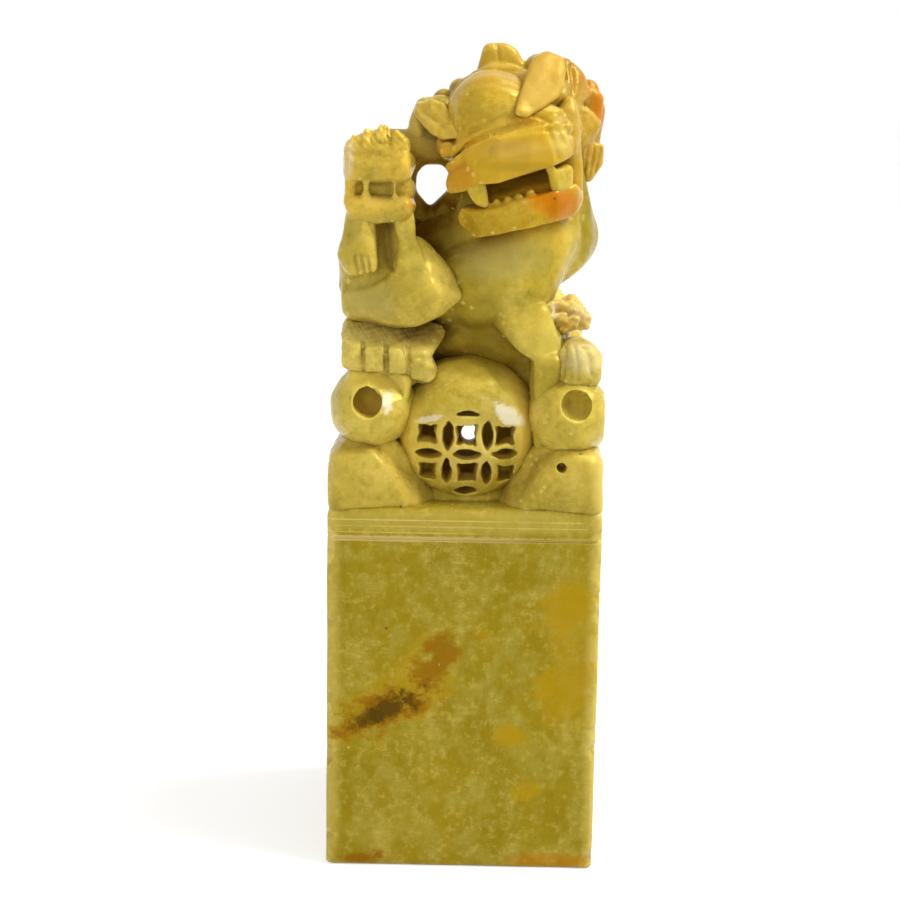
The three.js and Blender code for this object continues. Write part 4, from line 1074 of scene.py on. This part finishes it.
def zone(tree, place, wobble, centre, radii, turn=0, soft=0.5, uneven=0.9):
    """One inside an ellipsoid in millimetres that is turned about Y, none outside, with an uneven border."""
    inside = node(tree, "Mapping",
                  {"Vector": place, "Location": [middle * MM for middle in centre],
                   "Rotation": (0, math.radians(turn), 0), "Scale": [radius * MM for radius in radii]},
                  vector_type="TEXTURE").outputs["Vector"]
    reach = node(tree, "VectorMath", {0: inside}, operation="LENGTH").outputs["Value"]
    swing = node(tree, "Math", {0: wobble, 1: 0.5}, operation="SUBTRACT").outputs["Value"]
    edge = node(tree, "Math", {0: swing, 1: uneven, 2: reach}, operation="MULTIPLY_ADD").outputs["Value"]
    return span(tree, edge, 1 - soft, 1 + soft, 1.0, 0.0)


def line_of(tree, value, width, strength):
    """Thin lines where a noise passes through its middle."""
    away = node(tree, "Math", {0: value, 1: 0.5}, operation="SUBTRACT").outputs["Value"]
    return span(tree, times(tree, away, 0.0, "ABSOLUTE"), 0.0, width, strength, 0.0)


def soapstone(name, base, marks=(), veins=(), polish=0.2, clouds=1.0, veils=0.25, hollows=0.45):
    """Polished soapstone: clouds, veils, threads and specks, placed marks and light from within.

    Each mark is the name of a colour, a centre, radii, a strength and how rough the stone is there.
    Each vein is the name of a colour, a centre, radii, a strength and a turn; its border is ragged.
    Polish is the roughness of the bare stone; clouds, veils and hollows are strengths; hollows sets the
    painted shade in the hollows.
    """
    colours = bpy.context.scene.seal_colours
    stone = bpy.data.materials.new(name)
    stone.use_nodes = True
    tree = stone.node_tree
    shader = tree.nodes["Principled BSDF"]
    place = node(tree, "TexCoord").outputs["Object"]

    def paint(key):
        return (*getattr(colours, key), 1)

    # Clouds a centimetre wide, standing streaks, mottling of a millimetre or two, and a ragged pattern
    cloud = noise(tree, place, 95, 5, 0.6)
    drift = noise(tree, stretched(tree, place, (1, 1, 0.45), (0.5, 0.4, 0.3)), 210, 6, 0.62)
    mottle = noise(tree, place, 640, 5, 0.7)
    ragged = noise(tree, stretched(tree, place, (1, 1, 1.3), (0.2, 0.7, 0.1)), 340, 7, 0.72)
    look = tint(tree, span(tree, cloud, 0.42, 0.66, 0.0, 0.6 * clouds), paint(base), paint("olive"))
    look = tint(tree, span(tree, drift, 0.5, 0.7, 0.0, 0.5 * clouds), look, paint("pale"))
    look = tint(tree, span(tree, mottle, 0.5, 0.72, 0.0, 0.42), look, paint("olive"))
    fine = noise(tree, stretched(tree, place, (1, 1, 0.8), (0.1, 0.6, 0.9)), 430, 4, 0.6)
    look = tint(tree, span(tree, fine, 0.44, 0.62, 0.0, veils), look, paint("veil"))
    # Fine crystals, pale threads and hairs, and the strokes that the file left
    crystals = noise(tree, place, 1300, 3, 0.6)
    look = tint(tree, span(tree, crystals, 0.52, 0.7, 0.0, 0.3), look, paint("pale"))
    look = tint(tree, span(tree, crystals, 0.48, 0.32, 0.0, 0.25), look, paint("olive"))
    threads = times(tree, line_of(tree, drift, 0.008, 0.34 * clouds), span(tree, cloud, 0.45, 0.6))
    look = tint(tree, threads, look, paint("pale"))
    hairs = times(tree, line_of(tree, ragged, 0.006, 0.4), span(tree, drift, 0.46, 0.6))
    look = tint(tree, hairs, look, paint("pale"))
    hatch = noise(tree, stretched(tree, place, (300, 300, 2600), (0.35, 0.6, 0.2)), 1.0, 3, 0.6)
    strokes = times(tree, line_of(tree, hatch, 0.014, 0.45), span(tree, drift, 0.47, 0.6))
    look = tint(tree, strokes, look, paint("pale"))
    # The marks and veins that lie in one place
    rough = span(tree, mottle, 0.3, 0.7, polish - 0.05, polish + 0.12)
    wear = 0.0
    for key, centre, radii, strength, ground in marks:
        patch = zone(tree, place, drift, centre, radii)
        look = tint(tree, times(tree, patch, strength), look, paint(key))
        if ground > 0:
            raw = times(tree, patch, ground)
            rough = times(tree, rough, raw, "ADD")
            wear = raw if wear == 0.0 else times(tree, wear, raw, "MAXIMUM")
    for key, centre, radii, strength, turn in veins:
        patch = zone(tree, place, ragged, centre, radii, turn, soft=0.35, uneven=4)
        look = tint(tree, times(tree, patch, strength), look, paint(key))
    # Dust and pits, painted light along the sharp edges and painted shade in the hollows
    speck = node(tree, "TexVoronoi", {"Vector": place, "Scale": 620.0, "Randomness": 1.0}).outputs["Distance"]
    dust = times(tree, span(tree, speck, 0.04, 0.12, 0.45, 0.0),
                 span(tree, noise(tree, place, 330, 2), 0.6, 0.68))
    look = tint(tree, dust, look, paint("chalk"))
    pits = node(tree, "TexVoronoi", {"Vector": place, "Scale": 480.0, "Randomness": 1.0}).outputs["Distance"]
    pit = times(tree, span(tree, pits, 0.05, 0.12, 0.7, 0.0),
                span(tree, noise(tree, place, 260, 2), 0.62, 0.7))
    look = tint(tree, pit, look, paint("brown"))
    # Painted light: sharp edges are tinted pale, as if light shone through them
    edges = node(tree, "NewGeometry").outputs["Pointiness"]
    look = tint(tree, span(tree, edges, 0.515, 0.57, 0.0, 0.7), look, paint("pale"))
    # Painted shade: where the surface is closed in, the hollow colour is laid over it
    open_sky = node(tree, "AmbientOcclusion", {"Distance": 0.005}, samples=6).outputs["AO"]
    look = tint(tree, span(tree, open_sky, 0.1, 0.62, hollows, 0.0), look, paint("hollow"))
    tree.links.new(look, shader.inputs["Base Color"])
    tree.links.new(rough, shader.inputs["Roughness"])

    # The relief: strokes of the file, flats of the chisel, and crumbs where the stone is raw
    grain = noise(tree, place, 2600, 3, 0.6)
    chisel = node(tree, "TexVoronoi", {"Vector": place, "Scale": 900.0, "Smoothness": 0.3, "Randomness": 1.0},
                  feature="SMOOTH_F1").outputs["Distance"]
    relief = node(tree, "Math", {0: hatch, 1: 0.35, 2: mottle}, operation="MULTIPLY_ADD").outputs["Value"]
    relief = node(tree, "Math", {0: chisel, 1: 0.5, 2: relief}, operation="MULTIPLY_ADD").outputs["Value"]
    if wear != 0.0:
        crumbs = times(tree, times(tree, grain, wear), 3.0)
        relief = node(tree, "Math", {0: crumbs, 1: relief}, operation="ADD").outputs["Value"]
    bump = node(tree, "Bump", {"Strength": 0.5, "Distance": 0.0001, "Height": relief}).outputs["Normal"]
    tree.links.new(bump, shader.inputs["Normal"])
    shader.inputs["IOR"].default_value = 1.56
    shader.inputs["Specular IOR Level"].default_value = 0.32
    shader.inputs["Specular Tint"].default_value = (1.0, 0.86, 0.12, 1)
    shader.inputs["Subsurface Weight"].default_value = 0.5
    shader.inputs["Subsurface Radius"].default_value = (1.0, 0.8, 0.25)
    shader.inputs["Subsurface Scale"].default_value = 0.0012
    return stone


def stone_of(slot):
    """The finish of a slot of the record, made once."""
    name = slot.replace("stone", "soapstone")
    if name in bpy.data.materials:
        return bpy.data.materials[name]
    return soapstone(name, **STONES[slot])


STONES = {
    # Painted light through the stone at the pale and yellow corners, a pale upper edge, the scribed line and
    # an orange spot at the foot; the brown vein that slants across the front, yellow spots beside it and
    # faint lines above the scribed one
    "block_stone": dict(base="block", polish=0.22, clouds=0.6, veils=0.55, marks=(
        ("amber", (12.4, -15, 27), (2.6, 4, 9), 0.35, 0),
        ("pale", (-15, -15, 20), (1.4, 4, 26), 0.45, 0),
        ("pale", (15.2, -15, 22), (1.4, 4, 26), 0.65, 0),
        ("pale", (0, -15, 40), (20, 4, 1.2), 0.35, 0.1),
        ("orange", (10.0, -15, 0.8), (4.6, 4, 0.9), 0.4, 0),
        ("scribe", (-9, 0, 38.1), (17, 40, 0.26), 0.95, 0.3),
        ("pale", (6, 0, 38.1), (30, 40, 0.22), 0.4, 0.2),
    ), veins=(
        ("amber", (-6.4, -15, 20.4), (8.4, 3, 3.2), 0.6, -40),
        ("rust", (-8.4, -15, 18.4), (4.6, 3, 2.2), 0.9, -34),
        ("rust", (-2.6, -15, 24.4), (3.8, 3, 1.7), 0.85, -48),
        ("brown", (-7.6, -15, 19.0), (3.0, 3, 1.3), 0.9, -38),
        ("brown", (-10.2, -15, 17.4), (1.8, 3, 0.9), 0.7, -20),
        ("rust", (-11.4, -15, 0.9), (2.6, 4, 0.8), 0.95, 0),
        ("amber", (5.6, -15, 15.6), (1.8, 3, 1.2), 0.9, 0),
        ("amber", (11.6, -15, 30), (3.4, 3, 3.0), 0.7, -30),
        ("amber", (12.0, -15, 21), (2.6, 3, 3.8), 0.6, 20),
        ("amber", (7.4, -15, 9.0), (1.4, 3, 1.0), 0.7, 0),
        ("amber", (9.0, -15, 21.4), (1.0, 3, 2.0), 0.8, 20),
        ("pale", (-4, -15, 40.2), (16, 4, 0.07), 0.8, 0),
        ("pale", (2, -15, 39.5), (15, 4, 0.06), 0.6, 0),
        ("pale", (-8, -15, 38.8), (9, 4, 0.06), 0.7, 0),
    )),
    # A chip above the drilled hole, and thin stone at the outer corners, where light comes through
    "rock_stone": dict(base="rock", hollows=0.3, marks=(
        ("chalk", (12.6, -15, 48.2), (1.6, 1.5, 0.5), 0.45, 0.3),
        ("pale", (15.2, -13, 44.5), (1.5, 4, 4.5), 0.7, 0),
        ("pale", (-15.2, -13, 46), (1.3, 4, 5), 0.6, 0),
    )),
    # Painted light under the left toes and in the left eyelet, and a painted highlight on the cut facet
    # beside it
    "pearl_stone": dict(base="pearl", hollows=0.2, marks=(
        ("haunch", (-9.8, -13.2, 55.0), (4.4, 3, 1.3), 0.7, 0),
        ("haunch", (-10.7, -11.5, 52.4), (1.4, 3.4, 1.4), 0.9, 0),
    ), veins=(
        ("chalk", (-8.5, -13.7, 53.0), (0.9, 2.0, 1.0), 0.85, 20),
    )),
    # Pale lattice, painted light inside the ball and at both its sides, painted shade on its top; chalky
    # crescents above
    "ball_stone": dict(base="ball", clouds=0.8, polish=0.4, hollows=0.1, marks=(
        ("pale", (0.3, -14, 47.4), (6.4, 1.5, 4.8), 0.8, 0.1),
        ("brow", (0, -5.8, 48.9), (5.6, 5.6, 5.6), 0.9, 0),
        ("orange", (0, -5.8, 48.9), (5.6, 5.6, 5.6), 0.25, 0),
        ("haunch", (6.2, -9, 55.6), (2.4, 4, 3.6), 0.85, 0),
        ("haunch", (6.6, -9.6, 50.5), (1.8, 4, 5.5), 0.8, 0),
        ("haunch", (-5.8, -10, 48.6), (1.6, 4, 4.0), 0.5, 0),
        ("olive", (1.2, -9.4, 56.8), (4.4, 4, 1.7), 0.4, 0),
        ("grey", (4.4, -12.8, 52.0), (2.4, 1.8, 1.6), 0.3, 0.3),
    ), veins=(
        ("chalk", (4.5, -12.8, 51.5), (2.5, 2.4, 0.7), 0.75, 34),
        ("chalk", (-4.2, -12.8, 50.9), (1.4, 2.0, 0.28), 0.6, -14),
    )),
    # The ground back of the left paw, the painted shade beside its last toe and a painted highlight on the
    # right paw
    "limb_stone": dict(base="limb", hollows=0.4, marks=(
        ("grey", (-8.6, -9.4, 60.0), (6, 3.4, 1.1), 0.5, 0.35),
        ("hollow", (-4.9, -9.8, 59.6), (2.8, 3.6, 1.2), 0.65, 0),
        ("chalk", (12.4, -11.4, 57.8), (2.2, 2.4, 1.6), 0.22, 0.2),
    )),
    # Painted shade beside the cub, above the ball, on the belly and on the right flank; painted light on the
    # chest and foreleg
    "body_stone": dict(base="body", veils=0.45, marks=(
        ("hollow", (-3.4, -3.4, 69.6), (3.8, 3.6, 3.4), 0.95, 0),
        ("hollow", (1.4, -5, 59.6), (6, 4.6, 1.8), 0.6, 0),
        ("olive", (1.0, -8, 63.8), (3.0, 4, 4.6), 0.45, 0),
        ("olive", (12.0, -4, 74.4), (1.8, 4, 4.4), 0.55, 0),
        ("haunch", (4.6, -7, 70.4), (5, 4, 1.5), 0.45, 0),
        ("grey", (2.8, -10, 68.4), (4.4, 4, 2.6), 0.6, 0.25),
        ("limb", (7.6, -10, 59.4), (3.2, 3, 3.6), 0.35, 0),
        ("olive", (13.6, -1, 71.5), (1.8, 5, 5), 0.65, 0),
    )),
    # The cub: painted shade beside its arm, on its left arm, its flank and its haunch, and the ground foot of
    # its haunch
    "haunch_stone": dict(base="haunch", veils=0.4, marks=(
        ("hollow", (-9.2, -9.0, 69.8), (1.2, 2.4, 2.6), 0.45, 0),
        ("olive", (-12.6, -10, 69.4), (1.8, 3, 3.6), 0.4, 0),
        ("olive", (-12.4, -12, 62.6), (2.6, 3, 2.6), 0.2, 0),
        ("olive", (-7.8, -12, 64.2), (3.6, 4, 3.0), 0.42, 0),
        ("grey", (-11.2, -13, 63.0), (3.4, 5, 2.6), 0.55, 0.25),
    )),
    # Painted shade on the rosy right ear, the painted shade under the cub's lip, its orange cheek and a
    # painted highlight on its left temple
    "brow_stone": dict(base="brow", marks=(
        ("mane", (7.4, -8, 86.8), (4.4, 5, 5.4), 0.85, 0.1),
        ("olive", (-9.6, -12, 72.3), (3.8, 2.4, 0.8), 0.3, 0),
        ("rose", (7.0, -9, 85.8), (3.4, 4, 3.0), 0.5, 0.2),
        ("orange", (9.2, -5, 88.6), (1.4, 3, 1.6), 0.15, 0),
        ("orange", (-6.2, -11, 74.2), (0.8, 2, 0.6), 0.35, 0),
        ("chalk", (-12.9, -11, 78.6), (0.5, 2, 1.8), 0.4, 0.2),
    )),
    # The warm lip, painted shade on the right cheek and below the crown tuft, a painted highlight at the
    # lip's right end, and the orange and rosy skin left on the brows and the lip
    "skull_stone": dict(base="skull", clouds=0.7, veils=0.15, marks=(
        ("lip", (4.0, -12, 79.0), (7.5, 3.5, 3.6), 0.8, 0),
        ("rose", (10.8, -8, 82.4), (1.3, 3, 3.0), 0.5, 0),
        ("mane", (11.6, -6.6, 77.8), (1.6, 3, 3.8), 0.6, 0),
        ("mane", (3.0, -7.5, 87.7), (4.2, 4, 1.9), 0.65, 0),
        ("orange", (-2.8, -9, 79.8), (1.6, 3, 1.2), 0.15, 0),
        ("rose", (4.6, -12.8, 80.0), (3.4, 2, 1.1), 0.7, 0),
        ("pale", (9.4, -11, 80.9), (1.2, 2, 1.3), 0.6, 0),
        ("olive", (5.4, -12.6, 78.2), (4.0, 2, 0.6), 0.25, 0),
        ("orange", (5.2, -11, 83.0), (2.8, 2.4, 0.7), 0.2, 0.2),
        ("orange", (0.0, -11, 80.8), (1.8, 2.4, 0.7), 0.15, 0.1),
        ("orange", (-1.2, -12, 76.8), (2.0, 3, 1.6), 0.4, 0),
    )),
    # The orange right end of the jaw and its olive left end
    "lip_stone": dict(base="lip", clouds=0.6, veils=0.15, marks=(
        ("orange", (9.2, -11, 74.6), (3.2, 3, 1.3), 0.8, 0),
        ("orange", (9.8, -10, 73.6), (1.8, 3, 1.4), 0.7, 0),
        ("rust", (10.8, -10, 74.4), (2.4, 3, 2.0), 0.3, 0),
        ("orange", (-1.2, -12, 77.6), (1.8, 3, 2.0), 0.3, 0),
        ("olive", (1.4, -12, 71.8), (2.6, 3, 1.6), 0.35, 0),
    )),
    # Orange skin and painted shade on the right locks, a light crown tuft, and the lock by the cub: painted
    # shade below, pale above
    "mane_stone": dict(base="mane", clouds=0.8, veils=0.15, marks=(
        ("orange", (14.4, 0, 84.6), (1.6, 3, 2.4), 0.75, 0),
        ("orange", (11.6, -1, 87.0), (2.0, 3, 2.0), 0.35, 0),
        ("brow", (3.0, -1, 89.8), (3.4, 3, 2.4), 0.45, 0),
        ("rust", (11.2, -2.4, 87), (2.0, 2, 3.2), 0.25, 0),
        ("hollow", (-3.0, -3.4, 71.4), (4.8, 4, 3.0), 0.9, 0),
        ("pale", (-4.8, -3.8, 81.8), (2.2, 3, 2.6), 0.85, 0),
    )),
    "tooth_stone": dict(base="tooth", clouds=0.3),
    # Chalky grains with yellow dirt between them
    "tuft_stone": dict(base="tuft", polish=0.35, clouds=0.5, hollows=0.2, marks=(
        ("chalk", (11.8, -7, 61.8), (1.6, 2, 0.9), 0.3, 0.3),
        ("chalk", (9.2, -8, 61.8), (0.6, 2, 1.2), 0.4, 0.3),
        ("amber", (10.8, -7, 61.4), (2.0, 2, 1.2), 0.6, 0.2),
    )),
}


def dress(piece, nodes, slot):
    """Brings a finished piece to metres and puts it in its nodes' place."""
    piece.data.transform(Matrix.Scale(MM, 4))
    piece.data.materials.clear()
    piece.data.materials.append(stone_of(slot))
    piece.data.polygons.foreach_set("use_smooth", [True] * len(piece.data.polygons))
    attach(piece, "root")
    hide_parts(*nodes)


# Stage

def place_camera(scene):
    """Sets the camera at the photograph's view."""
    target = Vector((0, 0, 0.045))
    elevation = math.radians(12)
    away = 0.2169
    spot = target + away * Vector((0, -math.cos(elevation), math.sin(elevation)))
    yaw, pitch, roll = math.radians(-0.5), -elevation - math.radians(0.03), math.radians(0.93)
    ahead = Vector((math.sin(yaw) * math.cos(pitch), math.cos(yaw) * math.cos(pitch), math.sin(pitch)))
    right = ahead.cross(Vector((0, 0, 1))).normalized()
    level = Matrix((right, right.cross(ahead), -ahead)).transposed()
    camera = bpy.data.objects.new("camera", bpy.data.cameras.new("camera"))
    camera.data.lens = 75
    camera.data.sensor_width = 36
    camera.data.clip_start = 0.01
    camera.matrix_world = Matrix.Translation(spot) @ (level @ Matrix.Rotation(roll, 3, "Z")).to_4x4()
    scene.collection.objects.link(camera)
    scene.camera = camera


def background_ray(tree):
    """One for a ray that shows the background: the camera's own, a reflected or a refracted one."""
    path = node(tree, "LightPath").outputs
    seen = times(tree, path["Is Camera Ray"], path["Is Glossy Ray"], "MAXIMUM")
    return times(tree, seen, path["Is Transmission Ray"], "MAXIMUM")


def light_stage(scene):
    """Sets a soft world, a lamp at the upper right, a wide one in front and a small one for the sparkle."""
    world = bpy.data.worlds.new("studio")
    scene.world = world
    world.use_nodes = True
    tree = world.node_tree
    soft = tree.nodes["Background"]
    soft.inputs["Color"].default_value = (1, 1, 1, 1)
    soft.inputs["Strength"].default_value = 0.5
    white = node(tree, "Background", {"Color": (1, 1, 1, 1), "Strength": 1.0})
    mix = node(tree, "MixShader", {0: background_ray(tree), 1: soft.outputs[0], 2: white.outputs[0]})
    tree.links.new(mix.outputs[0], tree.nodes["World Output"].inputs["Surface"])
    lamps = (("above", (0.22, -0.02, 0.39), 0.22, 1.25), ("front", (-0.2, -0.5, 0.2), 0.4, 0.5),
             ("spark", (0.3, -0.06, 0.4), 0.03, 0.4))
    for name, spot, width, power in lamps:
        lamp = bpy.data.objects.new(name, bpy.data.lights.new(name, "AREA"))
        lamp.data.energy = power
        lamp.data.size = width
        lamp.location = spot
        lamp.rotation_euler = (Vector((0, 0, 0.06)) - lamp.location).to_track_quat("-Z", "Y").to_euler()
        scene.collection.objects.link(lamp)


def lay_floor():
    """Lays the white floor that keeps the seal's shadow."""
    reach = 2
    bm = bmesh.new()
    bmesh.ops.create_grid(bm, x_segments=1, y_segments=1, size=reach)
    floor = object_of("floor", bm)
    paper = bpy.data.materials.new("paper")
    paper.use_nodes = True
    tree = paper.node_tree
    shader = tree.nodes["Principled BSDF"]
    shader.inputs["Base Color"].default_value = (0.8, 0.8, 0.8, 1)
    shader.inputs["Roughness"].default_value = 0.9
    shader.inputs["Emission Color"].default_value = (1, 1, 1, 1)
    tree.links.new(times(tree, background_ray(tree), 0.55), shader.inputs["Emission Strength"])
    floor.data.materials.append(paper)


# Operators

class SEAL_OT_block(bpy.types.Operator):
    """Saw the block of the seal and scribe the line round it"""
    bl_idname = "seal.block"
    bl_label = "Block"

    def execute(self, context):
        dress(seal_block(), ["seal_block"], "block_stone")
        return {"FINISHED"}


class SEAL_OT_rocks(bpy.types.Operator):
    """Carve the four rocks at the corners of the block"""
    bl_idname = "seal.rocks"
    bl_label = "Rocks"

    def execute(self, context):
        for side, flip in (("left", -1), ("right", 1)):
            hole = None
            if side == "right":
                hole = bmesh.new()
                # A small hole is drilled in the right front rock
                rod(hole, 10.4, -SIDE - 1, FLOOR + 4.7, 0.55, 3.6)
            dress(rock(f"rock_{side}_front", flip, False, 6.5, hole), [f"{side}_front_rock"], "rock_stone")
            dress(rock(f"rock_{side}_rear", flip, True, 9.3), [f"{side}_rear_rock"], "rock_stone")
        return {"FINISHED"}


class SEAL_OT_pearls(bpy.types.Operator):
    """Turn the two pearls and drill their eyelets"""
    bl_idname = "seal.pearls"
    bl_label = "Pearls"

    def execute(self, context):
        left = pearl("pearl_left", LEFT_PEARL, -10.7, 52.9, 4)
        facet(left, (-8.7, -12.7, 54.1), (0.38, -0.68, 0.62), 2)
        dress(left, ["left_pearl"], "pearl_stone")
        dress(pearl("pearl_right", RIGHT_PEARL, 11.8, 52.9, 2.3), ["right_pearl"], "pearl_stone")
        return {"FINISHED"}


class SEAL_OT_ball(bpy.types.Operator):
    """Hollow out the ball and pierce its lattice of coins"""
    bl_idname = "seal.ball"
    bl_label = "Pierced Ball"

    def execute(self, context):
        dress(pierced_ball(), ["lattice_ball"], "ball_stone")
        return {"FINISHED"}


class SEAL_OT_paws(bpy.types.Operator):
    """Carve the two front paws and the rough tuft at the elbow"""
    bl_idname = "seal.paws"
    bl_label = "Front Paws"

    def execute(self, context):
        toes = [f"left_toe_{number}" for number in (1, 2, 3, 4)]
        dress(left_paw(), ["left_front_paw", *toes], "limb_stone")
        dress(right_paw(), ["right_front_paw"], "limb_stone")
        dress(rough_tuft(), ["elbow_tuft"], "tuft_stone")
        return {"FINISHED"}


class SEAL_OT_body(bpy.types.Operator):
    """Carve the lion's trunk, its hindquarters and its tail"""
    bl_idname = "seal.body"
    bl_label = "Lion's Body"

    def execute(self, context):
        dress(trunk(), ["chest", "neck", "belly", "right_foreleg"], "body_stone")
        dress(hindquarters(), ["rump", "left_thigh", "right_thigh", "left_rear_paw", "right_rear_paw"],
              "haunch_stone")
        dress(tail(), ["tail", "spine_ridge"], "mane_stone")
        return {"FINISHED"}


class SEAL_OT_cub(bpy.types.Operator):
    """Carve the cub and the lock that joins it to the lion"""
    bl_idname = "seal.cub"
    bl_label = "Cub"

    def execute(self, context):
        dress(cub_trunk(), ["cub_haunch", "cub_body", "cub_neck", "cub_left_arm", "cub_right_arm"],
              "haunch_stone")
        dress(cub_head(), ["cub_head", "cub_hair", "cub_jaw"], "brow_stone")
        dress(linking_strand(), ["linking_lock"], "mane_stone")
        return {"FINISHED"}


class SEAL_OT_head(bpy.types.Operator):
    """Carve the lion's forehead, ears, lips, jaw and fangs"""
    bl_idname = "seal.head"
    bl_label = "Lion's Head"

    def execute(self, context):
        dress(lion_face(),
              ["skull", "left_eye", "right_eye", "right_cheek", "upper_jaw", "left_jowl", "nose"],
              "skull_stone")
        dress(lion_ears(), ["left_ear", "right_ear"], "brow_stone")
        dress(lion_jaw(), ["lower_jaw", "lower_teeth"], "lip_stone")
        dress(lion_fangs(), ["left_fang", "right_fang"], "tooth_stone")
        return {"FINISHED"}


class SEAL_OT_mane(bpy.types.Operator):
    """Carve the crown tuft and the locks of the mane"""
    bl_idname = "seal.mane"
    bl_label = "Mane"

    def execute(self, context):
        sides = ["left_mane_lock_1", "left_mane_lock_2"]
        sides += [f"right_mane_lock_{number}" for number in (1, 2, 3)]
        back = [f"back_mane_lock_{number}" for number in (1, 2, 3, 4)]
        dress(mane_locks(), ["mane", "crown_tuft", *sides, *back], "mane_stone")
        return {"FINISHED"}


class SEAL_OT_stage(bpy.types.Operator):
    """Set the pale floor, the soft light and the camera"""
    bl_idname = "seal.stage"
    bl_label = "Stage"

    def execute(self, context):
        context.scene.view_settings.view_transform = "Standard"
        place_camera(context.scene)
        light_stage(context.scene)
        lay_floor()
        return {"FINISHED"}


OPERATORS = (SEAL_OT_block, SEAL_OT_rocks, SEAL_OT_pearls, SEAL_OT_ball, SEAL_OT_paws, SEAL_OT_body,
             SEAL_OT_cub, SEAL_OT_head, SEAL_OT_mane, SEAL_OT_stage)


class SEAL_PT_carving(bpy.types.Panel):
    """The steps of the carving, with its sizes and colours"""
    bl_idname = "SEAL_PT_carving"
    bl_label = "Soapstone Seal"
    bl_space_type = "VIEW_3D"
    bl_region_type = "UI"
    bl_category = "Seal"

    def draw(self, context):
        for group in (context.scene.seal_sizes, context.scene.seal_colours):
            column = self.layout.column()
            for key in type(group).__annotations__:
                column.prop(group, key)
        for operator in OPERATORS:
            self.layout.operator(operator.bl_idname)


CLASSES = (SealSizes, SealColours, *OPERATORS, SEAL_PT_carving)


def register():
    for made in CLASSES:
        bpy.utils.register_class(made)
    bpy.types.Scene.seal_sizes = PointerProperty(type=SealSizes)
    bpy.types.Scene.seal_colours = PointerProperty(type=SealColours)


def unregister():
    del bpy.types.Scene.seal_colours
    del bpy.types.Scene.seal_sizes
    for made in reversed(CLASSES):
        bpy.utils.unregister_class(made)


def main():
    """Builds the seal and its stage."""
    register()
    bpy.ops.seal.block()
    bpy.ops.seal.rocks()
    bpy.ops.seal.pearls()
    bpy.ops.seal.ball()
    bpy.ops.seal.paws()
    bpy.ops.seal.body()
    bpy.ops.seal.cub()
    bpy.ops.seal.head()
    bpy.ops.seal.mane()
    bpy.ops.seal.stage()


if __name__ == "__main__":
    main()
